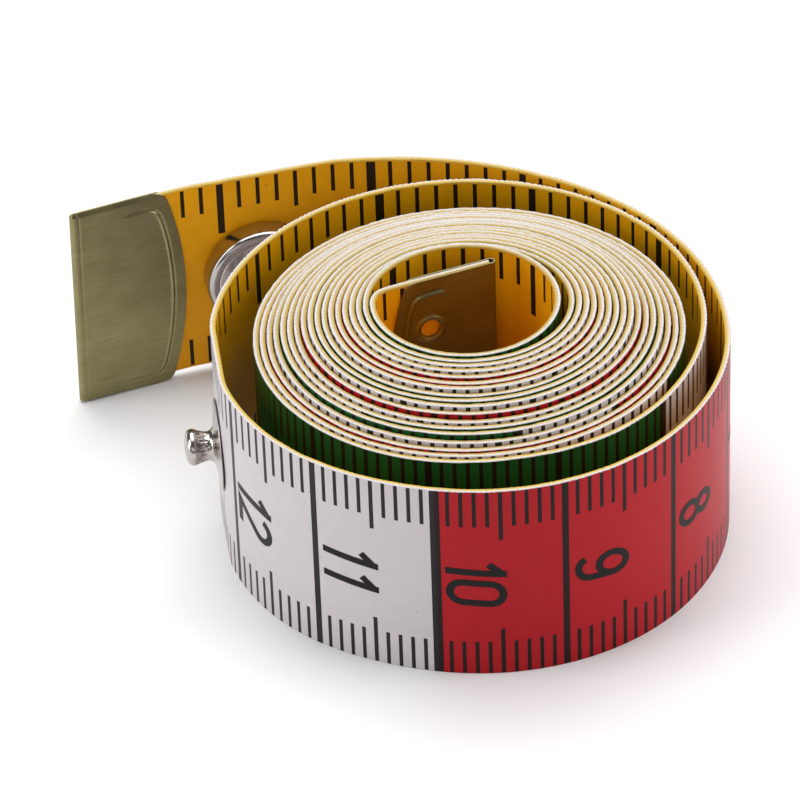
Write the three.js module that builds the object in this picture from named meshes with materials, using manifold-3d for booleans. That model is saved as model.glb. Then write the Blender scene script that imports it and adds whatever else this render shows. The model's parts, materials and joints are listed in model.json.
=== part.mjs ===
// A rolled cloth tape measure with a press stud.
// The tape stands on its edge: a tight coil, one loose turn round it, a second loose turn and a free
// tail. Folded brass tips close both ends, and a press stud on the loose turn fits a socket on the tail.
// Millimetres, +Z up. Plan angles are in degrees about the coil's axis, and grow outwards along the tape.
// A station is a length along the tape, counted from the outer tip inwards.
import * as THREE from 'three';
import { mergeVertices } from 'three/addons/utils/BufferGeometryUtils.js';
import Module from 'manifold-3d';

const wasm = await Module();
wasm.setup();

// The tape
const TAPE_LENGTH = 1500; // the printed scale, from fold to fold of the two tips
const TAPE_WIDTH = 18.4;
const TAPE_THICKNESS = 0.12; // less than the cloth's 0.45, so that neighbouring turns stay apart
const TURN_GAP = 0.425; // clear space between one turn of the coil and the next

// The coil
const COIL_TURNS = 17; // whole turns, besides the part turn between its two end angles
const COIL_OVAL = 0.4; // how far the roll is pressed out of round, each way
const COIL_RISE = 3.0; // how far the inner turns stand above the outermost one
const COIL_INNER_ANGLE = 175;
const COIL_OUTER_ANGLE = 280;
const STEPS_PER_TURN = 24;

// The inner end, which leaves the innermost turn and crosses the bore
const INNER_BEND_RADIUS = 1.2;
const INNER_END_CLEARANCE = 1.6; // between the inner tip's fold and the turn behind it
const BEND_STEPS = 6;

// The loose turns: how far the tape stands off the coil, every SLACK_STEP degrees outwards from the
// coil. The last value is only aimed at.
const SLACK_STEP = 30;
const LOOSE_SLACK = [
  0, 0.65, 1.2, 2.1, 3.0, 3.5, 3.75, 3.75, 3.5, 2.95, 2.95,
  3.1, 3.55, 3.8, 3.65, 3.4, 3.75, 4.5, 6.5, 10.1, 10.9,
];
const LOOSE_ANGLE = 556.5; // from the coil out to the straight end of the tail
const END_TURN = 6.8; // the tail's bend before the socket, and again before the tip
const STRAIGHT_MARGIN = 0.9; // flat tape beyond the tip and beyond the socket
const TAIL_CLIMB_LENGTH = 38; // over which the tail climbs onto its tip

// The hinged runs of the loose tape, which swing clear of the roll
const HINGED_LENGTH = 93; // from the outer tip to the innermost hinge
const EVEN_RUNS = 3; // of equal length, besides the run of the socket
const HINGE_MARGIN = 6.3; // from the rim of the socket to the nearest hinge
const HINGE_GAP = 0.3;

// The brass tips
const TIP_LENGTH = 9.2;
const TIP_BULGE = 1.5; // how far the free edge swells between its corners
const TIP_CORNER_RADIUS = 1.1;
const TIP_SHEET = 0.3;
const TIP_TOP_OVERHANG = 0.3;
const TIP_BOTTOM_OVERHANG = 0.65;
const TIP_HOLE_RADIUS = 0.8;
const TIP_HOLE_FROM_FOLD = 5.3;
const TIP_HOLE_FROM_TOP = 5.2;

// The press stud and its post
const STUD_FROM_HINGE = 33; // along the tape, from the innermost hinge
const STUD_FLANGE_RADIUS = 3.7;
const STUD_FLANGE_THICKNESS = 0.3;
const STUD_FOOT_RADIUS = 1.8; // where the flared foot meets the flange
const STUD_FOOT_HEIGHT = 0.7;
const STUD_NECK_RADIUS = 1.1;
const STUD_NECK_HEIGHT = 0.35;
const STUD_HEAD_RADIUS = 1.5;
const STUD_HEAD_LOWER = 0.4; // from the neck up to the head's widest ring
const STUD_HEAD_DOME = 1.0; // from that ring to the top
const STUD_WALL = 0.35; // of the neck, round the post's bore
const POST_FLANGE_RADIUS = 3.2;
const POST_FLANGE_THICKNESS = 0.35;

// The snap socket, its springs and its cap
const SOCKET_FROM_TIP = 1.9; // bare tape between the brass tip and the socket
const SOCKET_RADIUS = 4.75;
const SOCKET_WALL = 0.35;
const SOCKET_CORNER_RADIUS = 0.5;
const SOCKET_RIM_WIDTH = 0.9; // of the rolled rim round the sunken face
const SOCKET_FACE_DROP = 0.1; // from the rim down to that face
const SPRING_WIRE_RADIUS = 0.22;
const SPRING_GAP = 0.26; // between the springs and the cap's spread end
const CAP_RADIUS = 4.9;
const CAP_RIM = 0.25; // the upright edge under the dome
const CAP_DOME = 1.05;
const CAP_WALL = 0.35;
const CAP_BARREL_RADIUS = 1.5;
const CAP_LIP = 0.75; // how far the barrel's spread end stands out

// Clearances and edges
const FIT_CLEARANCE = 0.2; // between the tape's faces and what is pressed onto them
const HOLE_CLEARANCE = 0.3; // round a post or barrel that goes through a hole
const SNAP_CLEARANCE = 0.25; // between the stud's head and the mouth of the socket
const EDGE_ROUND = 0.15; // how far the rim of pressed sheet is rounded over

// How finely round shapes are cut
const LATHE_SEGMENTS = 32;
const ROUND_STEPS = 4;
const CURVE_STEPS = 8;
const WIRE_SIDES = 8;
const OVERRUN = 1; // how far a cutting shape runs past what it cuts
const HEADING_REACH = 0.5; // each way along the tape, when its heading is measured
const STATION_TOLERANCE = 0.01;
const SOLVER_ROUNDS = 40;
const SEARCH_STEP = 1; // degrees

// Colours
const BLOCK_LENGTH = 100; // of one colour on the tape's outer face
const BLOCK_COLOURS = ['#b3252c', '#d9d6da', '#1f5a30', '#d9d6da'];
const COIL_COLOUR = '#e9d9a8'; // the many edges of both plies, seen together
const BRASS_COLOUR = '#8f8552';
const NICKEL_COLOUR = '#c3c0c0';
const SPRING_COLOUR = '#a8a6a2';

// What follows from these sizes
const TURN = 360; // degrees
const STEP_ANGLE = TURN / STEPS_PER_TURN;
const COIL_ANGLE = COIL_TURNS * TURN + COIL_OUTER_ANGLE - COIL_INNER_ANGLE;
const PITCH = TAPE_THICKNESS + TURN_GAP;
const TAPE_FACE = TAPE_THICKNESS / 2 + FIT_CLEARANCE; // where a pressed-on piece sits, from the mid-line
const TAPE_END = TIP_SHEET + FIT_CLEARANCE; // where the cloth ends inside a folded tip
const SNAP_RADIUS = Math.max(CAP_RADIUS, SOCKET_RADIUS);
const SOCKET_STATION = TIP_LENGTH + SOCKET_FROM_TIP + SNAP_RADIUS;
const TIP_STRAIGHT = TIP_LENGTH + STRAIGHT_MARGIN;
const SOCKET_STRAIGHT = SOCKET_STATION + SNAP_RADIUS + STRAIGHT_MARGIN - TIP_STRAIGHT;
const STUD_STATION = HINGED_LENGTH + STUD_FROM_HINGE;
const STUD_BORE_RADIUS = STUD_NECK_RADIUS - STUD_WALL;
const POST_RADIUS = STUD_BORE_RADIUS - HOLE_CLEARANCE;

const ORIGIN = new THREE.Vector2();
const radians = THREE.MathUtils.degToRad;

// The route, as plan points from the outer tip to the inner tip

function polar(angle, radius) {
  const swollen = radius + COIL_OVAL * Math.cos(radians(2 * angle));
  return new THREE.Vector2(swollen * Math.cos(radians(angle)), swollen * Math.sin(radians(angle)));
}

// Smooth value of the slack list at an angle counted from the coil's outer end
function slackAt(angle) {
  const last = LOOSE_SLACK.length - 3;
  const index = Math.min(Math.floor(angle / SLACK_STEP), last);
  const t = angle / SLACK_STEP - index;
  const before = LOOSE_SLACK[Math.max(index - 1, 0)];
  const from = LOOSE_SLACK[index];
  const to = LOOSE_SLACK[index + 1];
  const after = LOOSE_SLACK[index + 2];
  const startSlope = (to - before) / 2;
  const endSlope = (after - from) / 2;
  const square = t * t;
  const cube = square * t;
  return (
    (2 * cube - 3 * square + 1) * from +
    (cube - 2 * square + t) * startSlope +
    (3 * square - 2 * cube) * to +
    (cube - square) * endSlope
  );
}

function stationsOf(points) {
  const stations = [0];
  for (let i = 1; i < points.length; i += 1) {
    stations.push(stations[i - 1] + points[i].distanceTo(points[i - 1]));
  }
  return stations;
}

function pointOn(points, stations, station) {
  const next = Math.max(1, stations.findIndex((s) => s >= station));
  const share = (station - stations[next - 1]) / (stations[next] - stations[next - 1]);
  return points[next - 1].clone().lerp(points[next], share);
}

// The same points with a straight stretch between two stations, where a flange holds the tape flat
function flattened(points, from, to) {
  const stations = stationsOf(points);
  return [
    ...points.filter((_, i) => stations[i] < from),
    pointOn(points, stations, from),
    pointOn(points, stations, to),
    ...points.filter((_, i) => stations[i] > to),
  ];
}

// The loose turns from the outer end of the straight tail in to the coil
function loosePoints(coilRadius) {
  const outwards = [];
  const steps = Math.ceil(LOOSE_ANGLE / STEP_ANGLE);
  for (let step = 0; step <= steps; step += 1) {
    const angle = (LOOSE_ANGLE * step) / steps;
    outwards.push(polar(COIL_OUTER_ANGLE + angle, coilRadius + slackAt(angle)));
  }
  const heading = outwards.at(-1).clone().sub(outwards.at(-2)).normalize();
  for (const straight of [SOCKET_STRAIGHT, TIP_STRAIGHT]) {
    heading.rotateAround(ORIGIN, radians(END_TURN));
    outwards.push(outwards.at(-1).clone().addScaledVector(heading, straight));
  }
  const inwards = outwards.reverse();
  return flattened(inwards, STUD_STATION - STUD_FLANGE_RADIUS, STUD_STATION + STUD_FLANGE_RADIUS);
}

// The coil from its outer end in to its inner end, without the first point
function coilPoints(boreRadius) {
  const points = [];
  const steps = Math.ceil(COIL_ANGLE / STEP_ANGLE);
  for (let step = 1; step <= steps; step += 1) {
    const wound = (COIL_ANGLE * step) / steps;
    points.push(polar(COIL_OUTER_ANGLE - wound, boreRadius + (PITCH * (COIL_ANGLE - wound)) / TURN));
  }
  return points;
}

// The bend and the straight chord across the bore that carries the inner tip. The tape bends until
// the tip's fold clears the innermost turn.
function innerEndPoints(start, before, boreRadius) {
  const chordLength = TIP_LENGTH + FIT_CLEARANCE;
  const travel = start.clone().sub(before).normalize().rotateAround(ORIGIN, -radians(STEP_ANGLE));
  const side = new THREE.Vector2(travel.y, -travel.x);
  const centre = start.clone().addScaledVector(side, INNER_BEND_RADIUS);
  const arm = start.clone().sub(centre);
  const bentBy = (angle) => arm.clone().rotateAround(ORIGIN, -radians(angle)).add(centre);
  const endOf = (angle) =>
    bentBy(angle).addScaledVector(travel.clone().rotateAround(ORIGIN, -radians(angle)), chordLength);
  let bend = STEP_ANGLE;
  while (bend < TURN / 2 && endOf(bend).length() > boreRadius - INNER_END_CLEARANCE) bend += SEARCH_STEP;
  const points = [];
  for (let step = 1; step <= BEND_STEPS; step += 1) points.push(bentBy((bend * step) / BEND_STEPS));
  points.push(endOf(bend));
  return points;
}

// The bore follows from the tape's length: it is adjusted until the whole route has that length
function wholeRoute() {
  let boreRadius = COIL_TURNS * PITCH;
  let points = [];
  let looseCount = 0;
  for (let round = 0; round < SOLVER_ROUNDS; round += 1) {
    const loose = loosePoints(boreRadius + (PITCH * COIL_ANGLE) / TURN);
    const coil = coilPoints(boreRadius);
    const inner = innerEndPoints(coil.at(-1), coil.at(-2), boreRadius);
    points = [...loose, ...coil, ...inner];
    looseCount = loose.length;
    const excess = stationsOf(points).at(-1) - TAPE_LENGTH;
    boreRadius -= excess / radians(COIL_ANGLE + LOOSE_ANGLE);
  }
  const stations = stationsOf(points);
  return { points, stations, boreRadius, coilStart: stations[looseCount - 1] };
}

const ROUTE = wholeRoute();
const FIRST_TURN_END = ROUTE.coilStart + radians(TURN) * (ROUTE.boreRadius + (PITCH * COIL_ANGLE) / TURN);
const CHORD_START = ROUTE.stations.at(-2);

// How high the tape's lower edge stands at a station
function liftAt(station) {
  const climbed = TIP_STRAIGHT + SOCKET_STRAIGHT;
  const climbStart = climbed + TAIL_CLIMB_LENGTH;
  if (station < climbStart) {
    return TIP_BOTTOM_OVERHANG * THREE.MathUtils.smoothstep(climbStart - station, 0, TAIL_CLIMB_LENGTH);
  }
  const risen = (station - FIRST_TURN_END) / (CHORD_START - FIRST_TURN_END);
  return COIL_RISE * THREE.MathUtils.clamp(risen, 0, 1);
}

function pointAt(station) {
  return pointOn(ROUTE.points, ROUTE.stations, Math.min(station, ROUTE.stations.at(-1)));
}

// The plan points of a stretch of tape, with their stations
function stretch(from, to) {
  const between = ROUTE.stations.filter((s) => s > from + STATION_TOLERANCE && s < to - STATION_TOLERANCE);
  return [from, ...between, to].map((station) => ({ station, point: pointAt(station) }));
}

// The least clear space between one part of the tape and another, measured on its points. Parts less
// than half the innermost turn apart along the tape are neighbours, and don't count.
function leastSelfGap(from, to) {
  const parts = stretch(from, to);
  const nearby = Math.PI * ROUTE.boreRadius;
  let least = Infinity;
  for (const { station, point } of parts) {
    for (let j = 1; j < parts.length; j += 1) {
      const start = parts[j - 1];
      if (Math.abs(parts[j].station - station) < nearby) continue;
      if (Math.abs(start.station - station) < nearby) continue;
      const along = parts[j].point.clone().sub(start.point);
      const share = point.clone().sub(start.point).dot(along) / along.lengthSq();
      const foot = start.point.clone().addScaledVector(along, THREE.MathUtils.clamp(share, 0, 1));
      least = Math.min(least, foot.distanceTo(point) - TAPE_THICKNESS);
    }
  }
  return least;
}

// Solids

// The tape between two stations: a thin band on its edge, closed at both ends
function tapeGeometry(from, to) {
  const parts = stretch(from, to);
  const positions = [];
  const triangles = [];
  parts.forEach(({ station, point }, i) => {
    const before = parts[Math.max(i - 1, 0)].point;
    const after = parts[Math.min(i + 1, parts.length - 1)].point;
    const along = after.clone().sub(before).normalize();
    const half = new THREE.Vector2(-along.y, along.x).multiplyScalar(TAPE_THICKNESS / 2);
    const low = liftAt(station);
    const outside = point.clone().add(half);
    const inside = point.clone().sub(half);
    positions.push(outside.x, outside.y, low, outside.x, outside.y, low + TAPE_WIDTH);
    positions.push(inside.x, inside.y, low + TAPE_WIDTH, inside.x, inside.y, low);
    if (i === 0) return;
    for (let corner = 0; corner < 4; corner += 1) {
      const a = (i - 1) * 4 + corner;
      const b = (i - 1) * 4 + ((corner + 1) % 4);
      triangles.push(a, b + 4, a + 4, a, b, b + 4);
    }
  });
  const end = (parts.length - 1) * 4;
  triangles.push(0, 2, 1, 0, 3, 2, end, end + 1, end + 2, end, end + 2, end + 3);
  const geometry = new THREE.BufferGeometry();
  geometry.setAttribute('position', new THREE.Float32BufferAttribute(positions, 3));
  geometry.setIndex(triangles);
  return geometry;
}

function toManifold(geometry) {
  const bare = geometry.clone();
  bare.deleteAttribute('normal');
  bare.deleteAttribute('uv');
  const merged = mergeVertices(bare);
  return new wasm.Manifold(
    new wasm.Mesh({
      numProp: 3,
      vertProperties: new Float32Array(merged.attributes.position.array),
      triVerts: new Uint32Array(merged.index.array),
    }),
  );
}

function fromManifold(solid) {
  const mesh = solid.getMesh();
  const geometry = new THREE.BufferGeometry();
  geometry.setAttribute('position', new THREE.Float32BufferAttribute(mesh.vertProperties, 3));
  geometry.setIndex(Array.from(mesh.triVerts));
  return geometry;
}

function cut(geometry, tool) {
  return fromManifold(toManifold(geometry).subtract(toManifold(tool)));
}

function intersection(geometry, other) {
  return fromManifold(toManifold(geometry).intersect(toManifold(other)));
}

function lathed(profile) {
  return new THREE.LatheGeometry(profile.map(([r, h]) => new THREE.Vector2(r, h)), LATHE_SEGMENTS);
}

// A quarter of an ellipse between two points of a profile, without the first point. It leaves that
// point upright and arrives level, or the other way round.
function quarterRound([fromRadius, fromHeight], [toRadius, toHeight], leavesUpright) {
  const points = [];
  for (let step = 1; step <= ROUND_STEPS; step += 1) {
    const angle = (Math.PI / 2) * (step / ROUND_STEPS);
    const early = Math.sin(angle);
    const late = 1 - Math.cos(angle);
    const across = leavesUpright ? late : early;
    const up = leavesUpright ? early : late;
    points.push([fromRadius + (toRadius - fromRadius) * across, fromHeight + (toHeight - fromHeight) * up]);
  }
  return points;
}

function cloth(color) {
  return new THREE.MeshStandardMaterial({ color, roughness: 0.65, metalness: 0 });
}

function metal(color) {
  return new THREE.MeshStandardMaterial({ color, roughness: 0.3, metalness: 1 });
}

const model = new THREE.Group();

function addMesh(name, geometry, finish, parent) {
  const mesh = new THREE.Mesh(geometry, finish);
  mesh.name = name;
  parent.add(mesh);
  return mesh;
}

// A group on the tape's mid-line at a station: X runs inwards along the tape, Y points out of the roll
// and Z is up
function stationGroup(station) {
  const ahead = pointAt(Math.min(station + HEADING_REACH, TAPE_LENGTH));
  const along = ahead.sub(pointAt(Math.max(station - HEADING_REACH, 0))).normalize();
  const place = pointAt(station);
  const group = new THREE.Group();
  group.position.set(place.x, place.y, liftAt(station) + TAPE_WIDTH / 2);
  group.rotation.z = Math.atan2(along.y, along.x);
  return group;
}

// A round hole through the tape at a station, as a cutting tool in the model's frame
function throughHole(station, radius) {
  const depth = 2 * (TAPE_FACE + OVERRUN);
  const group = stationGroup(station);
  group.updateMatrix();
  return new THREE.CylinderGeometry(radius, radius, depth, LATHE_SEGMENTS).applyMatrix4(group.matrix);
}

// The tape: the coil with its inner end, the loose loop round it and the hinged runs

// The stations of the hinges: clear of the socket, then evenly spaced
function hingeStations() {
  const first = SOCKET_STATION + SNAP_RADIUS + HINGE_MARGIN;
  const stations = [];
  for (let run = 0; run <= EVEN_RUNS; run += 1) {
    stations.push(first + ((HINGED_LENGTH - first) * run) / EVEN_RUNS);
  }
  return stations;
}

// A stretch of tape with the holes for the barrel and the post that go through it there
function piercedTape(from, to) {
  const holes = [
    [SOCKET_STATION, CAP_BARREL_RADIUS + HOLE_CLEARANCE],
    [STUD_STATION, POST_RADIUS + HOLE_CLEARANCE],
  ];
  let geometry = tapeGeometry(from, to);
  for (const [station, radius] of holes) {
    if (station > from && station < to) geometry = cut(geometry, throughHole(station, radius));
  }
  return geometry;
}

function blockColour(station) {
  return BLOCK_COLOURS[Math.floor(station / BLOCK_LENGTH) % BLOCK_COLOURS.length];
}

function addTape() {
  const half = HINGE_GAP / 2;
  const coil = tapeGeometry(ROUTE.coilStart + half, TAPE_LENGTH - TAPE_END);
  addMesh('tape_coil', coil, cloth(COIL_COLOUR), model);
  const loop = piercedTape(HINGED_LENGTH + half, ROUTE.coilStart - half);
  addMesh('tape_loop', loop, cloth(blockColour(STUD_STATION)), model);
  const hinges = hingeStations();
  hinges.forEach((hinge, i) => {
    const from = i === 0 ? TAPE_END : hinges[i - 1] + half;
    const geometry = piercedTape(from, hinge - half);
    const run = addMesh(`tape_run_${i + 1}`, geometry, cloth(blockColour(from)), model);
    run.userData.hinge = pointAt(hinge);
  });
}

// A brass tip in its own frame: X from the fold along the tape, Y through it, Z up from its lower edge
function tipGeometry(holed) {
  const height = TAPE_WIDTH + TIP_TOP_OVERHANG + TIP_BOTTOM_OVERHANG;
  const slotHalf = TAPE_FACE;
  const outerHalf = slotHalf + TIP_SHEET;
  const openEnd = TIP_LENGTH + OVERRUN;
  const fold = new THREE.Shape();
  fold.moveTo(openEnd, outerHalf);
  fold.lineTo(outerHalf, outerHalf);
  fold.absarc(outerHalf, 0, outerHalf, Math.PI / 2, (3 * Math.PI) / 2, false);
  fold.lineTo(openEnd, -outerHalf);
  fold.lineTo(openEnd, -slotHalf);
  fold.lineTo(outerHalf, -slotHalf);
  fold.absarc(outerHalf, 0, slotHalf, (3 * Math.PI) / 2, Math.PI / 2, true);
  fold.lineTo(openEnd, slotHalf);
  const extrusion = { bevelEnabled: false, curveSegments: CURVE_STEPS };
  const folded = new THREE.ExtrudeGeometry(fold, { ...extrusion, depth: height });

  const shoulder = TIP_LENGTH - TIP_BULGE;
  const corner = TIP_CORNER_RADIUS;
  const cornerShare = corner / height;
  const lean = 4 * TIP_BULGE * cornerShare * (1 - cornerShare);
  const outline = new THREE.Shape();
  outline.moveTo(-OVERRUN, 0);
  outline.lineTo(shoulder - corner, 0);
  outline.quadraticCurveTo(shoulder, 0, shoulder + lean, corner);
  outline.quadraticCurveTo(shoulder + 2 * TIP_BULGE - lean, height / 2, shoulder + lean, height - corner);
  outline.quadraticCurveTo(shoulder, height, shoulder - corner, height);
  outline.lineTo(-OVERRUN, height);
  if (holed) {
    const hole = new THREE.Path();
    hole.absarc(TIP_HOLE_FROM_FOLD, height - TIP_HOLE_FROM_TOP, TIP_HOLE_RADIUS, 0, 2 * Math.PI, true);
    outline.holes.push(hole);
  }
  const depth = 2 * (outerHalf + OVERRUN);
  const blank = new THREE.ExtrudeGeometry(outline, { ...extrusion, depth });
  blank.rotateX(Math.PI / 2);
  blank.translate(0, depth / 2, 0);
  return intersection(folded, blank);
}

function addTips() {
  const drop = -TAPE_WIDTH / 2 - TIP_BOTTOM_OVERHANG;
  const tailEnd = stationGroup(0);
  const coreEnd = stationGroup(TAPE_LENGTH);
  model.add(tailEnd, coreEnd);
  const outer = addMesh('outer_tip', tipGeometry(false), metal(BRASS_COLOUR), tailEnd);
  outer.position.z = drop;
  const inner = addMesh('inner_tip', tipGeometry(true), metal(BRASS_COLOUR), coreEnd);
  inner.position.z = drop;
  inner.rotation.z = Math.PI;
}

// The press stud: a flange, a flared foot, a neck and a domed head, bored for its post
function addStud() {
  const flangeTop = TAPE_FACE + STUD_FLANGE_THICKNESS;
  const footTop = flangeTop + STUD_FOOT_HEIGHT;
  const headLow = footTop + STUD_NECK_HEIGHT;
  const headWidest = headLow + STUD_HEAD_LOWER;
  const place = stationGroup(STUD_STATION);
  model.add(place);
  const stud = [
    [0, headWidest],
    [STUD_BORE_RADIUS, headWidest],
    [STUD_BORE_RADIUS, TAPE_FACE],
    [STUD_FLANGE_RADIUS - EDGE_ROUND, TAPE_FACE],
    [STUD_FLANGE_RADIUS, (TAPE_FACE + flangeTop) / 2],
    [STUD_FLANGE_RADIUS - EDGE_ROUND, flangeTop],
    [STUD_FOOT_RADIUS, flangeTop],
    ...quarterRound([STUD_FOOT_RADIUS, flangeTop], [STUD_NECK_RADIUS, footTop], false),
    [STUD_NECK_RADIUS, headLow],
    ...quarterRound([STUD_NECK_RADIUS, headLow], [STUD_HEAD_RADIUS, headWidest], false),
    ...quarterRound([STUD_HEAD_RADIUS, headWidest], [0, headWidest + STUD_HEAD_DOME], true),
  ];
  addMesh('snap_stud', lathed(stud), metal(NICKEL_COLOUR), place);
  const flangeLow = -TAPE_FACE - POST_FLANGE_THICKNESS;
  const postTop = headWidest - HOLE_CLEARANCE;
  const post = [
    [0, flangeLow],
    [POST_FLANGE_RADIUS - EDGE_ROUND, flangeLow],
    [POST_FLANGE_RADIUS, (flangeLow - TAPE_FACE) / 2],
    [POST_FLANGE_RADIUS - EDGE_ROUND, -TAPE_FACE],
    [POST_RADIUS, -TAPE_FACE],
    [POST_RADIUS, postTop],
    [0, postTop],
  ];
  addMesh('stud_post', lathed(post), metal(NICKEL_COLOUR), place);
}

// The socket on the inner face, with its two springs, and the cap on the outer face that holds it. The
// socket is as high as what it holds: the cap's spread end, the springs and their clearances.
function addSocket() {
  const place = stationGroup(SOCKET_STATION);
  const facingIn = new THREE.Group();
  facingIn.rotation.x = Math.PI;
  place.add(facingIn);
  model.add(place);

  const floor = TAPE_FACE + SOCKET_WALL;
  const lipLow = floor + FIT_CLEARANCE;
  const lipHigh = lipLow + CAP_WALL;
  const springMiddle = lipHigh + SPRING_GAP + SPRING_WIRE_RADIUS;
  const ceiling = springMiddle + SPRING_WIRE_RADIUS + SNAP_CLEARANCE;
  const high = ceiling + SOCKET_WALL;
  const face = high - SOCKET_FACE_DROP;
  const mouth = STUD_HEAD_RADIUS + SNAP_CLEARANCE;
  const backHole = CAP_BARREL_RADIUS + HOLE_CLEARANCE;
  const cavity = SOCKET_RADIUS - SOCKET_WALL;
  const shoulder = SOCKET_RADIUS - SOCKET_CORNER_RADIUS;
  const lowCorner = TAPE_FACE + SOCKET_CORNER_RADIUS;
  const highCorner = high - SOCKET_CORNER_RADIUS;
  const socket = [
    [backHole, TAPE_FACE],
    [shoulder, TAPE_FACE],
    ...quarterRound([shoulder, TAPE_FACE], [SOCKET_RADIUS, lowCorner], false),
    [SOCKET_RADIUS, highCorner],
    ...quarterRound([SOCKET_RADIUS, highCorner], [shoulder, high], true),
    [SOCKET_RADIUS - SOCKET_RIM_WIDTH, face],
    [mouth + EDGE_ROUND, face],
    [mouth, face - EDGE_ROUND / 2],
    [mouth, ceiling],
    [cavity - EDGE_ROUND, ceiling],
    [cavity, ceiling - EDGE_ROUND],
    [cavity, floor + EDGE_ROUND],
    [cavity - EDGE_ROUND, floor],
    [backHole, floor],
    [backHole, TAPE_FACE],
  ];
  addMesh('snap_socket', lathed(socket), metal(NICKEL_COLOUR), facingIn);

  const springOffset = STUD_NECK_RADIUS + SPRING_WIRE_RADIUS + SNAP_CLEARANCE / 2;
  const springReach = springOffset + SPRING_WIRE_RADIUS;
  const springLength = 2 * Math.sqrt((cavity - HOLE_CLEARANCE) ** 2 - springReach ** 2);
  for (const [name, side] of [['socket_spring_outer', -1], ['socket_spring_inner', 1]]) {
    const wire = new THREE.CylinderGeometry(SPRING_WIRE_RADIUS, SPRING_WIRE_RADIUS, springLength, WIRE_SIDES);
    wire.rotateX(Math.PI / 2);
    const spring = addMesh(name, wire, metal(SPRING_COLOUR), facingIn);
    spring.position.set(side * springOffset, springMiddle, 0);
  }

  const domeLow = TAPE_FACE + CAP_RIM;
  const domeHigh = domeLow + CAP_DOME;
  const underside = domeHigh - CAP_WALL;
  const hollowRadius = CAP_RADIUS - CAP_WALL;
  const barrelInner = CAP_BARREL_RADIUS - CAP_WALL;
  const cap = [
    [0, underside],
    [barrelInner, underside],
    [barrelInner, -lipHigh],
    [CAP_BARREL_RADIUS + CAP_LIP, -lipHigh],
    [CAP_BARREL_RADIUS + CAP_LIP, -lipLow],
    [CAP_BARREL_RADIUS, -lipLow],
    [CAP_BARREL_RADIUS, underside],
    ...quarterRound([CAP_BARREL_RADIUS, underside], [hollowRadius, domeLow], false),
    [hollowRadius, TAPE_FACE],
    [CAP_RADIUS - EDGE_ROUND, TAPE_FACE],
    [CAP_RADIUS, domeLow],
    ...quarterRound([CAP_RADIUS, domeLow], [0, domeHigh], true),
  ];
  addMesh('snap_cap', lathed(cap), metal(NICKEL_COLOUR), place);
}

addTape();
addTips();
addStud();
addSocket();

// The origin is the middle of the object's footprint, on the surface it stands on
const box = new THREE.Box3().setFromObject(model);
model.position.set(-(box.min.x + box.max.x) / 2, -(box.min.y + box.max.y) / 2, -box.min.z);

console.log(`tape length ${ROUTE.stations.at(-1).toFixed(1)}, bore radius ${ROUTE.boreRadius.toFixed(2)}`);
console.log(`coil's least gap to itself ${leastSelfGap(ROUTE.coilStart, TAPE_LENGTH).toFixed(3)}`);
console.log(`loose tape's least gap to itself ${leastSelfGap(0, ROUTE.coilStart).toFixed(3)}`);
for (const { name, userData } of model.children) {
  if (!userData.hinge) continue;
  const x = userData.hinge.x + model.position.x;
  const y = userData.hinge.y + model.position.y;
  console.log(`${name} is hinged at ${x.toFixed(3)}, ${y.toFixed(3)}`);
}

export default model;
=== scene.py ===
import bisect
import json
import math

import bmesh
import bpy
from mathutils import Matrix, Vector, noise


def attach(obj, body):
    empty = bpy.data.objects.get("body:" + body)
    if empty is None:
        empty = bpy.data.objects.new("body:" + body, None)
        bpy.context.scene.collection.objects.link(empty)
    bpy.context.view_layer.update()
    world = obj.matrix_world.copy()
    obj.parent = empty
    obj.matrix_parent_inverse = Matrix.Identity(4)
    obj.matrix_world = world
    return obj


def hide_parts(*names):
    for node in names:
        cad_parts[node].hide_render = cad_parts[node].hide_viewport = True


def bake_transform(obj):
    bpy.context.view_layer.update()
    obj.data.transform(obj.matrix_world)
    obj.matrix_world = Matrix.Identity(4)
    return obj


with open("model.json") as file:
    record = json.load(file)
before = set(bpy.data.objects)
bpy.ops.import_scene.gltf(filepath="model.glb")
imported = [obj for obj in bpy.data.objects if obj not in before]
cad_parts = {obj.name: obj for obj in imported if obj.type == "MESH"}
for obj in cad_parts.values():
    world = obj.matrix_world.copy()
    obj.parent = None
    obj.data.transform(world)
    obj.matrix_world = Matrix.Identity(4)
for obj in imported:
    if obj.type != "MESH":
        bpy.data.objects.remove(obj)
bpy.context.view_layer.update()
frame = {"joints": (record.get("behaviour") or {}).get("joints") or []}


# The tape's route
# A rolled tape stands on its lower edge. From its outer brass tip it runs clockwise round one and a
# half loose turns into a coil, and its last few millimetres cross the bore to the inner brass tip.
# Plan sizes are millimetres from the coil's axis.

MM = 0.001
TAPE_LENGTH = 1500.0
TAPE_WIDTH = 18.4
TURN = 360.0

TURN_PITCH = 0.545
COIL_TURNS = 17
COIL_OVAL = 0.4
RIGHT_SLACK = 0.6
RIGHT_SLACK_ANGLE = 10.0
COIL_INNER_ANGLE = 175.0
COIL_OUTER_ANGLE = 280.0
COIL_ANGLE = COIL_TURNS * TURN + COIL_OUTER_ANGLE - COIL_INNER_ANGLE
FRONT_ANGLE = 270.0
TURN_RISES = [
    0.14, 0.08, 0.31, 0.43, 0.10, 0.17, 0.39, 0.31, 0.08,
    0.06, 0.29, 0.04, 0.19, 0.17, 0.08, 0.02, 0.14,
]
INNER_TURN_LIFT = 0.3
INNER_END_LIFT = 0.2
INNER_END_TURN = 0.25

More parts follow.
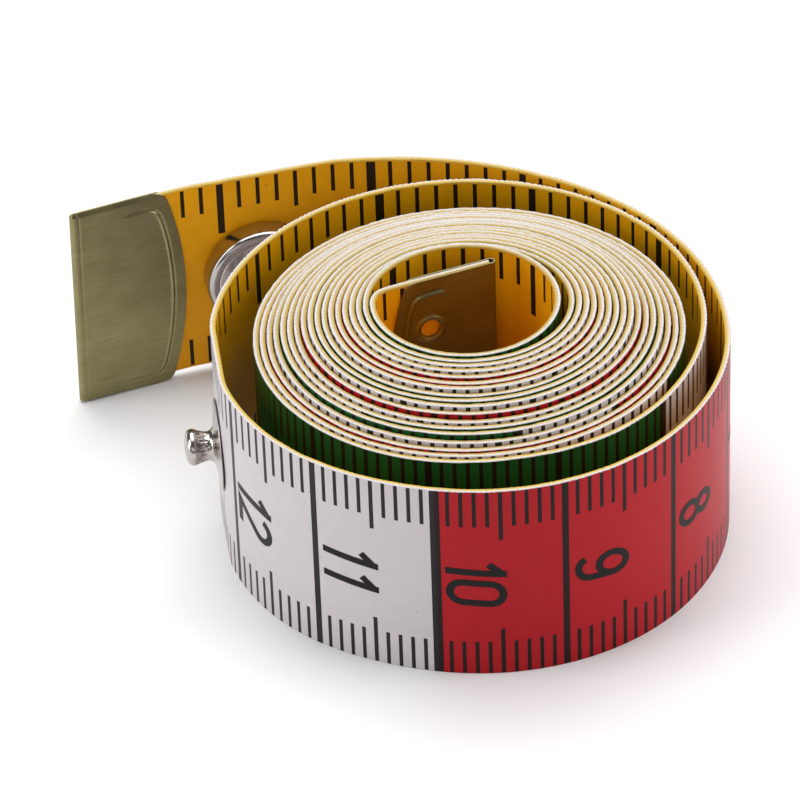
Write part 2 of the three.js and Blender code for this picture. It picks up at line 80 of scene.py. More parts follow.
LOOSE_ANGLE = 556.5
SLACK_STEP = 30.0
LOOSE_SLACK = [
    0, 0.65, 1.2, 2.1, 3.0, 3.5, 3.75, 3.75, 3.5, 3.25, 3.32,
    3.24, 3.7, 3.95, 3.8, 3.53, 3.83, 4.55, 6.55, 9.95, 10.82,
]
END_TURN = 6.8
SOCKET_STRAIGHT = 11.7
TIP_STRAIGHT = 10.1
TAIL_CLIMB_LENGTH = 38.0
TAIL_LIFT = 0.65

INNER_BEND_RADIUS = 1.2
INNER_END_CLEARANCE = 1.5
INNER_TIP_STANDOFF = 0.3
TIP_LENGTH = 9.2
INNER_TURN_SLACK = 0.5
INNER_SLACK_FROM = 95.0
INNER_SLACK_TO = 280.0

ROUTE_STEP = 3.0
ROUTE_EASE = 0.8
ROUTE_SPACING = 0.2
ROUTE_ROUNDS = 12
FIRST_HINGE_STATION = 27.2
STUD_STATION = 126.0
STUD_FLANGE_RADIUS = 3.7
SOCKET_STATION = 16.0


def polar(angle, radius):
    turn = math.radians(angle)
    swollen = radius + COIL_OVAL * math.cos(2 * turn)
    return Vector((swollen * math.cos(turn), swollen * math.sin(turn)))


def slack_at(angle):
    index = min(int(angle // SLACK_STEP), len(LOOSE_SLACK) - 3)
    t = angle / SLACK_STEP - index
    before, here, there, after = (LOOSE_SLACK[max(index + k, 0)] for k in (-1, 0, 1, 2))
    start_slope = (there - before) / 2
    end_slope = (after - here) / 2
    return (
        (2 * t**3 - 3 * t**2 + 1) * here
        + (t**3 - 2 * t**2 + t) * start_slope
        + (3 * t**2 - 2 * t**3) * there
        + (t**3 - t**2) * end_slope
    )


def turned_by(direction, angle):
    turned = direction.copy()
    turned.rotate(Matrix.Rotation(math.radians(angle), 2))
    return turned


def stations_of(points):
    stations = [0.0]
    for before, after in zip(points, points[1:]):
        stations.append(stations[-1] + (after - before).length)
    return stations


def point_on(points, stations, station):
    after = min(max(bisect.bisect_left(stations, station), 1), len(points) - 1)
    share = (station - stations[after - 1]) / (stations[after] - stations[after - 1])
    return points[after - 1].lerp(points[after], share)


def loose_points(coil_radius):
    """The loose turns from the outer tip in to the coil, flat where the stud is pressed on."""
    outwards = []
    steps = round(LOOSE_ANGLE / ROUTE_STEP)
    for step in range(steps + 1):
        angle = LOOSE_ANGLE * step / steps
        outwards.append(polar(COIL_OUTER_ANGLE + angle, coil_radius + slack_at(angle)))
    heading = (outwards[-1] - outwards[-2]).normalized()
    for straight in (SOCKET_STRAIGHT, TIP_STRAIGHT):
        heading = turned_by(heading, END_TURN)
        outwards.append(outwards[-1] + heading * straight)
    inwards = outwards[::-1]
    stations = stations_of(inwards)
    low, high = STUD_STATION - STUD_FLANGE_RADIUS, STUD_STATION + STUD_FLANGE_RADIUS
    flat = [point_on(inwards, stations, low), point_on(inwards, stations, high)]
    outer = [p for p, s in zip(inwards, stations) if s < low]
    return outer + flat + [p for p, s in zip(inwards, stations) if s > high]


def coil_points(bore):
    """The coil, wound inwards: wider on the right, where its innermost turn leaves a gap."""
    points = []
    steps = round(COIL_ANGLE / ROUTE_STEP)
    for step in range(1, steps + 1):
        left = COIL_ANGLE * (1 - step / steps)
        share = (left - INNER_SLACK_FROM) / (INNER_SLACK_TO - INNER_SLACK_FROM)
        loose_by = INNER_TURN_SLACK * math.sin(math.pi * min(max(share, 0), 1)) ** 2
        angle = COIL_OUTER_ANGLE - COIL_ANGLE + left
        facing = max(math.cos(math.radians(angle - RIGHT_SLACK_ANGLE)), 0)
        wider = RIGHT_SLACK * left / COIL_ANGLE * facing**2
        points.append(polar(angle, bore + TURN_PITCH * left / TURN + wider - loose_by))
    return points


def inner_end_points(start, before, bore):
    """The bend and the straight chord across the bore, bent until the tip's fold clears the coil."""
    travel = turned_by((start - before).normalized(), -ROUTE_STEP)
    centre = start + Vector((travel.y, -travel.x)) * INNER_BEND_RADIUS
    arm = start - centre
    chord = TIP_LENGTH + INNER_TIP_STANDOFF

    def end_of(angle):
        return centre + turned_by(arm, -angle) + turned_by(travel, -angle) * chord

    bend = ROUTE_STEP
    while bend < TURN / 2 and end_of(bend).length > bore - INNER_END_CLEARANCE:
        bend += 1
    steps = round(bend / ROUTE_STEP)
    points = [centre + turned_by(arm, -bend * step / steps) for step in range(1, steps + 1)]
    return points + [end_of(bend)]


# The bore is widened or narrowed until the whole route has the tape's length.
bore_radius = 7.0
for _ in range(ROUTE_ROUNDS):
    loose = loose_points(bore_radius + TURN_PITCH * COIL_ANGLE / TURN)
    coil = coil_points(bore_radius)
    raw_points = loose + coil + inner_end_points(coil[-1], coil[-2], bore_radius)
    raw_stations = stations_of(raw_points)
    bore_radius -= (raw_stations[-1] - TAPE_LENGTH) / math.radians(COIL_ANGLE + LOOSE_ANGLE)
coil_start = raw_stations[len(loose) - 1]

# The corners at the pressed-on pieces are eased, because coated cloth can't crease there.
route = []
for index in range(round(TAPE_LENGTH / ROUTE_SPACING) + 1):
    station = index * ROUTE_SPACING
    reach = min(ROUTE_EASE, station, TAPE_LENGTH - station)
    nearby = [station + reach * share for share in (-1, -0.67, -0.33, 0, 0.33, 0.67, 1)]
    nearby = [min(max(s, 0), raw_stations[-1]) for s in nearby]
    eased = [point_on(raw_points, raw_stations, s) for s in nearby]
    route.append(sum(eased, Vector((0, 0))) / len(eased))

# The frame has the first hinge of the tail on the tape's mid-line, which places the coil's axis.
hinges = {joint["child"]: Vector(joint["pos_m"]).to_2d() / MM for joint in frame["joints"]}
coil_axis = hinges["tail_end"] - route[round(FIRST_HINGE_STATION / ROUTE_SPACING)]
route = [point + coil_axis for point in route]


def route_point(station):
    at = min(max(station / ROUTE_SPACING, 0), len(route) - 1)
    before = min(int(at), len(route) - 2)
    return route[before].lerp(route[before + 1], at - before)


def smooth_share(value):
    share = min(max(value, 0), 1)
    return share * share * (3 - 2 * share)


def turns_wound(station):
    """How often the tape has passed the front of the coil, with the part of a turn since then."""
    step = bisect.bisect_left(raw_stations, station) - len(loose)
    wound = COIL_ANGLE * min(max(step / len(coil), 0), 1)
    return max(wound - (COIL_OUTER_ANGLE - FRONT_ANGLE), 0) / TURN


def lift_at(station):
    """How high the lower edge stands: the tail climbs, the coil rises and its last turn tilts."""
    climb_start = TIP_STRAIGHT + SOCKET_STRAIGHT + TAIL_CLIMB_LENGTH
    if station < climb_start:
        return TAIL_LIFT * smooth_share((climb_start - station) / TAIL_CLIMB_LENGTH)
    turns = turns_wound(station)
    whole = min(int(turns), len(TURN_RISES))
    part = TURN_RISES[whole] * (turns - whole) if whole < len(TURN_RISES) else 0
    inner = turns - len(TURN_RISES) + 1
    tilt = INNER_TURN_LIFT * math.sin(math.pi * min(max(inner, 0), 1)) ** 2
    end = INNER_END_LIFT * smooth_share((inner - 1) / INNER_END_TURN)
    return sum(TURN_RISES[:whole]) + part + tilt + end


def tape_normal(station):
    reach = ROUTE_SPACING
    low, high = max(station - reach, 0), min(station + reach, TAPE_LENGTH)
    along = (route_point(high) - route_point(low)).normalized()
    return Vector((-along.y, along.x))


def on_tape(station, across, out):
    """A point in millimetres: along the tape, up from its lower edge and out of its mid-line."""
    plan = route_point(station) + tape_normal(station) * out
    return Vector((plan.x, plan.y, lift_at(station) + across))


def tape_place(station):
    """A frame on the mid-line: X along the tape, Y out of the roll, Z up, in metres from millimetres."""
    outward = tape_normal(station).to_3d()
    along = Vector((outward.y, -outward.x, 0))
    turn = Matrix((along, outward, Vector((0, 0, 1)))).transposed().to_4x4()
    return Matrix.Scale(MM, 4) @ Matrix.Translation(on_tape(station, TAPE_WIDTH / 2, 0)) @ turn


# The printed cloth
# The tape is two plies of close-woven cloth, coated and printed: outside in ten-centimetre blocks of
# red, white and green with a centimetre scale, inside yellow with an inch scale. Its cut edges show
# the white and the yellow ply side by side.

TAPE_THICKNESS = 0.46
TAPE_CORNER = 0.05
INNER_CORNER = 0.13
WHITE_PLY_TO = 0.08
CORE_TO = -0.03
PLY_GROOVE = 0.03
THREAD_SPACING = 0.45
THREAD_HEIGHT = 0.025
THREAD_BULGE = 0.055
COILED_BULGE = 0.4
EDGE_WANDER = 0.04
EDGE_WANDER_LENGTH = 1.7
TAPE_END = 0.5
PRINT_MAP = "print"
PRINT_UNIT = 100.0
CENTIMETRE, INCH = 10.0, 25.4
COLOUR_BLOCK = 100.0
OUTER_TICK_START = 0.06
INNER_TICK_START = 0.22

RED_INK = (0.42, 0.006, 0.012)
WHITE_CLOTH = (0.62, 0.57, 0.585)
GREEN_INK = (0.004, 0.088, 0.018)
YELLOW_CLOTH = (0.84, 0.365, 0.003)
BLACK_INK = (0.007, 0.005, 0.005)
INK_COVER = 0.98
WHITE_PLY = (0.71, 0.68, 0.69)
CORE = (0.66, 0.53, 0.27)
YELLOW_PLY = (0.66, 0.44, 0.08)
# Paler cut-edge colours for the coil: painted sheen that washes out the wound edges.
SHEENED_COILED_CORE = (0.60, 0.52, 0.40)
SHEENED_COILED_YELLOW = (0.55, 0.385, 0.10)
# Painted shade for the grooves between the yarn ends of a cut edge.
YARN_GAP_SHADOW = (0.42, 0.34, 0.22)


def calc(tree, operation, *values):
    node = tree.nodes.new("ShaderNodeMath")
    node.operation = operation
    for socket, value in zip(node.inputs, values):
        if isinstance(value, (int, float)):
            socket.default_value = value
        else:
            tree.links.new(value, socket)
    return node.outputs[0]


def blend_colours(tree, share, low, high):
    node = tree.nodes.new("ShaderNodeMix")
    node.data_type = "RGBA"
    for name, value in ((0, share), (6, low), (7, high)):
        if isinstance(value, tuple):
            node.inputs[name].default_value = (*value, 1)
        elif isinstance(value, (int, float)):
            node.inputs[name].default_value = value
        else:
            tree.links.new(value, node.inputs[name])
    return node.outputs[2]


def start_group(name, inputs, outputs):
    group = bpy.data.node_groups.new(name, "ShaderNodeTree")
    for label, kind in inputs:
        group.interface.new_socket(label, in_out="INPUT", socket_type=kind)
    for label, kind in outputs:
        group.interface.new_socket(label, in_out="OUTPUT", socket_type=kind)
    return group, group.nodes.new("NodeGroupInput"), group.nodes.new("NodeGroupOutput")


def use_group(tree, group, **values):
    node = tree.nodes.new("ShaderNodeGroup")
    node.node_tree = group
    for label, value in values.items():
        socket = node.inputs[label.replace("_", " ")]
        if isinstance(value, (int, float)):
            socket.default_value = value
        elif isinstance(value, tuple):
            socket.default_value = (*value, 1)
        else:
            tree.links.new(value, socket)
    return node


def start_material(name):
    material = bpy.data.materials.new(name)
    material.use_nodes = True
    return material, material.node_tree, material.node_tree.nodes["Principled BSDF"]


def noise_on(tree, vector, scale, detail=2.0, roughness=0.5):
    node = tree.nodes.new("ShaderNodeTexNoise")
    node.inputs["Scale"].default_value = scale
    node.inputs["Detail"].default_value = detail
    node.inputs["Roughness"].default_value = roughness
    tree.links.new(vector, node.inputs["Vector"])
    return node.outputs["Fac"]


def bump_from(tree, height, strength, distance):
    node = tree.nodes.new("ShaderNodeBump")
    node.inputs["Strength"].default_value = strength
    node.inputs["Distance"].default_value = distance
    tree.links.new(height, node.inputs["Height"])
    return node.outputs["Normal"]


def object_coords(tree):
    return tree.nodes.new("ShaderNodeTexCoord").outputs["Object"]


def make_tick_group():
    """A row of printed ticks: one at each whole step along the tape, from its start to its reach."""
    labels = ("Along", "Line Width", "From Edge", "Start", "Reach")
    floats = [(label, "NodeSocketFloat") for label in labels]
    group, given, result = start_group("printed_ticks", floats, [("Ink", "NodeSocketFloat")])
    beside = calc(group, "PINGPONG", given.outputs["Along"], 0.5)
    line = calc(group, "LESS_THAN", beside, calc(group, "MULTIPLY", given.outputs["Line Width"], 0.5))
    inside = calc(group, "LESS_THAN", given.outputs["From Edge"], given.outputs["Reach"])
    started = calc(group, "GREATER_THAN", given.outputs["From Edge"], given.outputs["Start"])
    inside = calc(group, "MULTIPLY", inside, started)
    group.links.new(calc(group, "MULTIPLY", line, inside), result.inputs["Ink"])
    return group


def make_coating_group():
    """Coated weave: faint mottling of the colour, small dark specks and the threads' relief."""
    inputs = [("Colour", "NodeSocketColor"), ("Mottle", "NodeSocketFloat")]
    outputs = [("Colour", "NodeSocketColor")]
    outputs += [(label, "NodeSocketFloat") for label in ("Relief", "Gloss")]
    group, given, result = start_group("coated_weave", inputs, outputs)
    place = object_coords(group)
    cloud = noise_on(group, place, 900, 3)
    grain = noise_on(group, place, 5200, 2)
    speck = calc(group, "GREATER_THAN", noise_on(group, place, 2600, 0), 0.86)
    shade = calc(group, "MULTIPLY", calc(group, "SUBTRACT", cloud, 0.5), given.outputs["Mottle"])
    dirt = calc(group, "MULTIPLY", speck, 0.35)
    dark = blend_colours(group, dirt, given.outputs["Colour"], (0.05, 0.04, 0.04))
    node = group.nodes.new("ShaderNodeHueSaturation")
    group.links.new(dark, node.inputs["Color"])
    group.links.new(calc(group, "ADD", shade, 1.0), node.inputs["Value"])
    group.links.new(node.outputs["Color"], result.inputs["Colour"])
    relief = calc(group, "ADD", cloud, calc(group, "MULTIPLY", grain, 0.6))
    gloss = calc(group, "ADD", 0.30, calc(group, "MULTIPLY", grain, 0.14))
    group.links.new(relief, result.inputs["Relief"])
    group.links.new(gloss, result.inputs["Gloss"])
    return group


printed_ticks = make_tick_group()
coated_weave = make_coating_group()


def print_places(tree):
    """Where a point lies on the print: millimetres along the tape and up from its lower edge."""
    node = tree.nodes.new("ShaderNodeUVMap")
    node.uv_map = PRINT_MAP
    split = tree.nodes.new("ShaderNodeSeparateXYZ")
    tree.links.new(node.outputs["UV"], split.inputs[0])
    along = calc(tree, "MULTIPLY", split.outputs["X"], PRINT_UNIT)
    return along, calc(tree, "MULTIPLY", split.outputs["Y"], TAPE_WIDTH)


def most(tree, masks):
    total = masks[0]
    for mask in masks[1:]:
        total = calc(tree, "MAXIMUM", total, mask)
    return total


def tick_rows(tree, along, up, start, rows):
    """Ticks on both edges. A row is its spacing, line width, and reach from the top and bottom edge."""
    down = calc(tree, "SUBTRACT", TAPE_WIDTH, up)
    masks = []
    for spacing, width, top_reach, bottom_reach in rows:
        steps = calc(tree, "DIVIDE", along, spacing)
        sizes = {"Along": steps, "Line_Width": width / spacing, "Start": start}
        for edge, reach in ((down, top_reach), (up, bottom_reach)):
            ticks = use_group(tree, printed_ticks, From_Edge=edge, Reach=reach, **sizes)
            masks.append(ticks.outputs["Ink"])
    return most(tree, masks)


def finish_cloth(tree, shader, colour, mottle):
    coat = use_group(tree, coated_weave, Colour=colour, Mottle=mottle)
    tree.links.new(coat.outputs["Colour"], shader.inputs["Base Color"])
    tree.links.new(coat.outputs["Gloss"], shader.inputs["Roughness"])
    tree.links.new(bump_from(tree, coat.outputs["Relief"], 0.25, 0.00002), shader.inputs["Normal"])
    shader.inputs["Specular IOR Level"].default_value = 0.15


def colour_blocks(tree, along):
    """The ground of the outer face: a new colour every ten centimetres."""
    blocks = tree.nodes.new("ShaderNodeValToRGB")
    blocks.color_ramp.interpolation = "CONSTANT"
    colours = (RED_INK, WHITE_CLOTH, GREEN_INK, WHITE_CLOTH)
    for index, colour in enumerate(colours):
        at = index / len(colours)
        stop = blocks.color_ramp.elements[index] if index < 2 else blocks.color_ramp.elements.new(at)
        stop.position = at
        stop.color = (*colour, 1)
    repeats = calc(tree, "DIVIDE", along, len(colours) * COLOUR_BLOCK)
    tree.links.new(calc(tree, "FRACT", repeats), blocks.inputs[0])
    return blocks.outputs["Color"]


def make_outer_print():
    material, tree, shader = start_material("centimetre_print")
    along, up = print_places(tree)
    halfway = calc(tree, "ADD", along, CENTIMETRE / 2)
    whole = TAPE_WIDTH
    lines = [(CENTIMETRE, 0.54, whole, whole), (COLOUR_BLOCK, 0.78, whole, whole)]
    marks = [
        tick_rows(tree, along, up, OUTER_TICK_START, [(1.0, 0.31, 3.5, 3.3)]),
        tick_rows(tree, along, up, 0.0, lines),
        tick_rows(tree, halfway, up, OUTER_TICK_START, [(CENTIMETRE, 0.34, 4.8, 4.6)]),
    ]
    cover = calc(tree, "MULTIPLY", most(tree, marks), INK_COVER)
    inked = blend_colours(tree, cover, colour_blocks(tree, along), BLACK_INK)
    finish_cloth(tree, shader, inked, 0.10)
    return material


def make_inner_print():
    material, tree, shader = start_material("inch_print")
    along, up = print_places(tree)
    halves = calc(tree, "ADD", along, INCH / 2)
    quarters = calc(tree, "ADD", along, INCH / 4)
    lines = [(INCH / 16, 0.34, 2.9, 2.9), (INCH, 0.76, 5.4, 5.4)]
    marks = [
        tick_rows(tree, along, up, INNER_TICK_START, lines),
        tick_rows(tree, halves, up, INNER_TICK_START, [(INCH, 0.58, 5.2, 5.2)]),
        tick_rows(tree, quarters, up, INNER_TICK_START, [(INCH / 2, 0.36, 3.8, 3.8)]),
    ]
    cover = calc(tree, "MULTIPLY", most(tree, marks), INK_COVER)
    inked = blend_colours(tree, cover, YELLOW_CLOTH, BLACK_INK)
    finish_cloth(tree, shader, inked, 0.16)
    return material


def make_ply(name, loose_colour, sheened_coiled_colour, stained):
    """A cut edge: yarn ends side by side with painted shade between, stained by the print at the outer
    face.
    """
    material, tree, shader = start_material(name)
    along, up = print_places(tree)
    place = object_coords(tree)
    yarn = calc(tree, "PINGPONG", calc(tree, "DIVIDE", along, THREAD_SPACING), 0.5)
    fuzz = noise_on(tree, place, 2600, 3, 0.6)
    # Painted sheen: the cut edges turn to the paler coil colours over the first 20 mm of the coil.
    wound = calc(tree, "DIVIDE", calc(tree, "SUBTRACT", along, coil_start), 20.0)
    wound = calc(tree, "MINIMUM", calc(tree, "MAXIMUM", wound, 0.0), 1.0)
    colour = blend_colours(tree, wound, loose_colour, sheened_coiled_colour)
    # Painted shade: darker in the grooves between yarn ends, where the bump sinks, and darker at random
    # with the fuzz.
    shade = calc(tree, "SUBTRACT", 0.45, calc(tree, "MULTIPLY", calc(tree, "ADD", yarn, fuzz), 0.45))
    cut = blend_colours(tree, shade, colour, YARN_GAP_SHADOW)
    if stained:
        below = calc(tree, "SUBTRACT", TAPE_WIDTH, up)
        reach = calc(tree, "MINIMUM", calc(tree, "DIVIDE", below, TAPE_CORNER), 1.0)
        cut = blend_colours(tree, calc(tree, "MULTIPLY", reach, 0.4), cut, colour_blocks(tree, along))
    tree.links.new(cut, shader.inputs["Base Color"])
    tree.links.new(bump_from(tree, calc(tree, "ADD", yarn, fuzz), 0.5, 0.00004), shader.inputs["Normal"])
    shader.inputs["Roughness"].default_value = 0.8
    shader.inputs["Specular IOR Level"].default_value = 0.15
    return material


cloth_materials = [
    make_outer_print(),
    make_inner_print(),
    make_ply("white_ply", WHITE_PLY, WHITE_PLY, True),
    make_ply("core", CORE, SHEENED_COILED_CORE, False),
    make_ply("yellow_ply", YELLOW_PLY, SHEENED_COILED_YELLOW, False),
]
OUTER_FACE, INNER_FACE, WHITE_EDGE, CORE_EDGE, YELLOW_EDGE = range(5)


def tape_section():
    """The section, up the outer face and down the inner one: out, across and the material after it."""
    half = TAPE_THICKNESS / 2
    side = half - TAPE_CORNER
    low, middle, high = TAPE_CORNER, TAPE_WIDTH / 2, TAPE_WIDTH - TAPE_CORNER
    groove = TAPE_WIDTH - PLY_GROOVE
    return [
        (half, low, OUTER_FACE),
        (half, middle, OUTER_FACE),
        (half, TAPE_WIDTH - 5 * TAPE_CORNER, OUTER_FACE),
        (half, TAPE_WIDTH - 3 * TAPE_CORNER, OUTER_FACE),
        (half, high, WHITE_EDGE),
        (side, TAPE_WIDTH, WHITE_EDGE),
        (WHITE_PLY_TO, TAPE_WIDTH, CORE_EDGE),
        (CORE_TO, groove, YELLOW_EDGE),
        (-half + 0.8 * INNER_CORNER, TAPE_WIDTH - 0.08 * INNER_CORNER, YELLOW_EDGE),
        (-half + 0.25 * INNER_CORNER, TAPE_WIDTH - 0.4 * INNER_CORNER, YELLOW_EDGE),
        (-half, TAPE_WIDTH - INNER_CORNER, INNER_FACE),
        (-half, middle, INNER_FACE),
        (-half, low, YELLOW_EDGE),
        (-side, 0.0, YELLOW_EDGE),
        (CORE_TO, PLY_GROOVE, CORE_EDGE),
        (WHITE_PLY_TO, 0.0, WHITE_EDGE),
        (side, 0.0, WHITE_EDGE),
    ]


SECTION = tape_section()


def edge_wander(station, side):
    """How far the cut edge strays up and out: rounded thread ends, and a slow waviness of the cut."""
    ply = 7.0 * side
    drift = noise.noise(Vector((station / (3 * THREAD_SPACING), ply, 9.0)))
    thread = math.cos(2 * math.pi * (station / THREAD_SPACING + 0.7 * drift))
    wave = noise.noise(Vector((station / EDGE_WANDER_LENGTH, ply, 0.0)))
    slow = noise.noise(Vector((station / (7 * EDGE_WANDER_LENGTH), ply, 5.0)))
    strength = 0.5 + noise.noise(Vector((station / (5 * THREAD_SPACING), ply, 3.0)))
    inside_tip = min(station, TAPE_LENGTH - station) < TIP_LENGTH + TAPE_END
    if inside_tip:
        return 0.0, 0.0
    bulge = THREAD_BULGE * strength * thread * (1.0 if station < coil_start else COILED_BULGE)
    return THREAD_HEIGHT * strength * thread + EDGE_WANDER * (wave + slow), bulge


PRINT_CREEP = [(0.0, 0.42), (64.0, 0.0), (coil_start, 0.0), (TAPE_LENGTH, 1.4)]


def print_station(station):
    """The place on the printed scale: it lags a little in the tail and in the coil."""
    for (start, creep), (end, next_creep) in zip(PRINT_CREEP, PRINT_CREEP[1:]):
        if station <= end:
            return station - creep - (next_creep - creep) * (station - start) / (end - start)
    return station


def even_steps(start, end, spacing):
    steps = math.ceil((end - start) / spacing)
    return [start + (end - start) * step / steps for step in range(steps + 1)]


def pick_piece(piece):
    bpy.ops.object.select_all(action="DESELECT")
    piece.select_set(True)
    bpy.context.view_layer.objects.active = piece


def smooth(piece, angle):
    pick_piece(piece)
    bpy.ops.object.shade_smooth_by_angle(angle=math.radians(angle))


def add_mesh(name, points, faces, materials):
    mesh = bpy.data.meshes.new(name)
    mesh.from_pydata(points, [], faces)
    for material in materials:
        mesh.materials.append(material)
    piece = bpy.data.objects.new(name, mesh)
    bpy.context.collection.objects.link(piece)
    return piece


def make_tape(name, stations):
    """A stretch of the tape as a closed band, with its print map."""
    count = len(SECTION)
    points, faces, kinds, marks = [], [], [], []
    for row, station in enumerate(stations):
        for out, across, kind in SECTION:
            rise = bulge = 0.0
            if across > TAPE_WIDTH - 2 * TAPE_CORNER:
                rise, bulge = edge_wander(station, 1 if out > 0 else -1)
            points.append(on_tape(station, across + rise, out + bulge * (out > WHITE_PLY_TO)) * MM)
        if row == 0:
            continue
        for corner in range(count):
            after = (corner + 1) % count
            low, high = (row - 1) * count, row * count
            faces.append((low + corner, low + after, high + after, high + corner))
            kinds.append(SECTION[corner][2])
            ends = [SECTION[corner][1] / TAPE_WIDTH, SECTION[after][1] / TAPE_WIDTH]
            here, there = (print_station(s) / PRINT_UNIT for s in (stations[row - 1], station))
            marks += [(here, ends[0]), (here, ends[1]), (there, ends[1]), (there, ends[0])]
    last = (len(stations) - 1) * count
    for cap in (list(range(count))[::-1], [last + corner for corner in range(count)]):
        faces.append(cap)
        kinds.append(WHITE_EDGE)
        marks += [(stations[0] / PRINT_UNIT, 0.5)] * count
    tape = add_mesh(name, points, faces, cloth_materials)
    layer = tape.data.uv_layers.new(name=PRINT_MAP)
    layer.data.foreach_set("uv", [value for mark in marks for value in mark])
    tape.data.polygons.foreach_set("material_index", kinds)
    smooth(tape, 40)
    return tape


# The free tail and the outer half turn bend at four upright hinges. Each stretch of the tape holds
# one hinge and meets the next stretch about halfway to the next hinge. Its bend reach lies mostly on
# the hinge's outer side, clear of the turn inside it, except beside the socket; no bend is made here.
BEND_REACH = (9.5, 4.0)
SOCKET_BEND_REACH = (6.3, 6.3)
STRETCH_STEP = 0.11
COIL_STEP = 0.32
stretches = [
    ("tape_tail_end", TAPE_END, 40.6, ("tail_end", "tail"), ["tape_run_1"]),
    ("tape_tail", 40.6, 61.0, ("tail", "loop_back"), ["tape_run_2"]),
    ("tape_loop_back", 61.0, 81.5, ("loop_back", "loop_right"), ["tape_run_3"]),
    ("tape_loop_right", 81.5, 102.0, ("loop_right", "roll"), ["tape_run_4"]),
]


def hinge_station(body):
    along = [station for station in range(len(route)) if station * ROUTE_SPACING < coil_start / 2]
    return min(along, key=lambda index: (route[index] - hinges[body]).length) * ROUTE_SPACING


def bend_over_hinge(piece, bodies):
    """Bakes a piece in place; the bend over its two bodies' hinge, outer one first, is not made."""
    middle = hinge_station(bodies[0])
    outwards, inwards = SOCKET_BEND_REACH if bodies[0] == "tail_end" else BEND_REACH
    ends = [on_tape(station, 0, 0) * MM for station in (middle - outwards, middle + inwards)]
    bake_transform(piece)


for name, start, end, bodies, nodes in stretches:
    tape = make_tape(name, even_steps(start, end, STRETCH_STEP))
    bend_over_hinge(tape, bodies)
    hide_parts(*nodes)

roll_stations = even_steps(stretches[-1][2], coil_start, STRETCH_STEP)
roll_stations += even_steps(coil_start, TAPE_LENGTH - TAPE_END, COIL_STEP)[1:]
roll = make_tape("tape_roll", roll_stations)
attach(roll, "roll")
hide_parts("tape_coil", "tape_loop")


# The printed figures
# Black numbers are screen-printed along the middle of the tape, turned a quarter turn so that each
# stands on its own line: one for each centimetre outside and one for each inch inside.

FIGURE_HEIGHT = 4.7
FIGURE_WIDTH = 2.6
FIGURE_SLANT = 0.09
FIGURE_DROP = 0.1
ONE_WIDTH = 1.9
ONE_FLAG = 1.2
FIGURE_STROKE = 0.61
FIGURE_SPACE = 0.45
FIGURE_BASE_GAP = 0.7
INK_FILM = 0.02
INK_STEP = 0.5
ARC_STEP = 15.0


def arc(centre, radii, start, end):
    """Points on an arc, with its angles in degrees."""
    steps = math.ceil(abs(end - start) / ARC_STEP)
    angles = [math.radians(start + (end - start) * step / steps) for step in range(steps + 1)]
    rays = [Vector((radii[0] * math.cos(angle), radii[1] * math.sin(angle))) for angle in angles]
    return [Vector(centre) + ray for ray in rays]


def line_through(*corners):
    return [Vector(corner) for corner in corners]


def figure_strokes(figure):
    """The middle lines of a figure's strokes, with its lower left corner at the origin."""
    edge = FIGURE_STROKE / 2
    left, right = edge, FIGURE_WIDTH - edge
    low, high = edge, FIGURE_HEIGHT - edge
    middle, half = (left + right) / 2, (right - left) / 2
    waist = low + (high - low) * 0.46
    crown = high - half
    if figure == "0":
        top = arc((middle, crown), (half, half), 0, 180)
        bottom = arc((middle, low + half), (half, half), 180, 360)
        return [top + bottom + [Vector((right, crown))]]
    if figure == "1":
        bar = ONE_WIDTH - edge
        flag = [(bar, FIGURE_HEIGHT - 0.35), (bar + edge - ONE_FLAG, FIGURE_HEIGHT - 1.4)]
        return [line_through((bar, 0), (bar, FIGURE_HEIGHT)), line_through(*flag)]
    if figure == "2":
        top = arc((middle, crown), (half, half), 165, -35)
        return [top + line_through((left, low), (right + edge, low))]
    if figure == "3":
        upper = arc((middle, crown + 0.12), (half * 0.94, half * 0.88), 155, -70)
        lower_height = (high - low) * 0.29
        lower = arc((middle, low + lower_height), (half, lower_height), 80, -160)
        return [upper + [Vector((middle - 0.2, waist + 0.2))], lower]
    if figure == "4":
        bar = low + 0.85
        hook = line_through((middle + 0.25, FIGURE_HEIGHT), (left, bar), (right + edge, bar))
        return [hook, line_through((middle + 0.45, waist + 0.35), (middle + 0.45, 0))]
    if figure == "5":
        bowl = (high - low) * 0.3
        top = line_through((right + edge * 0.5, high), (left + 0.12, high), (left, waist + 0.1))
        return [top + arc((middle, low + bowl), (half, bowl), 130, -160)]
    if figure == "7":
        return [line_through((0, high), (right, high), (left + 0.3, 0))]
    if figure == "8":
        upper, lower = (high - low) * 0.235, (high - low) * 0.265
        rings = [arc((middle, high - upper), (half * 0.8, upper), 0, 360)]
        return rings + [arc((middle, low + lower), (half * 0.92, lower), 0, 360)]
    loop = (high - low) * 0.29
    hook = arc((middle, low + half), (half, half), 0, -155)
    nine = [arc((middle, high - loop), (half, loop), 0, 360), [Vector((right, high - loop))] + hook]
    if figure == "9":
        return nine
    corner = Vector((FIGURE_WIDTH, FIGURE_HEIGHT))
    return [[corner - point for point in stroke] for stroke in nine]


def figure_width(figure):
    return ONE_WIDTH if figure == "1" else FIGURE_WIDTH


def evenly(stroke, spacing):
    """A stroke with more points where they lie far apart, so that it bends with the tape."""
    points = [stroke[0]]
    for before, after in zip(stroke, stroke[1:]):
        parts = max(1, math.ceil((after - before).length / spacing))
        points += [before.lerp(after, part / parts) for part in range(1, parts + 1)]
    return [p for n, p in enumerate(points) if n == 0 or (p - points[n - 1]).length > 1e-4]


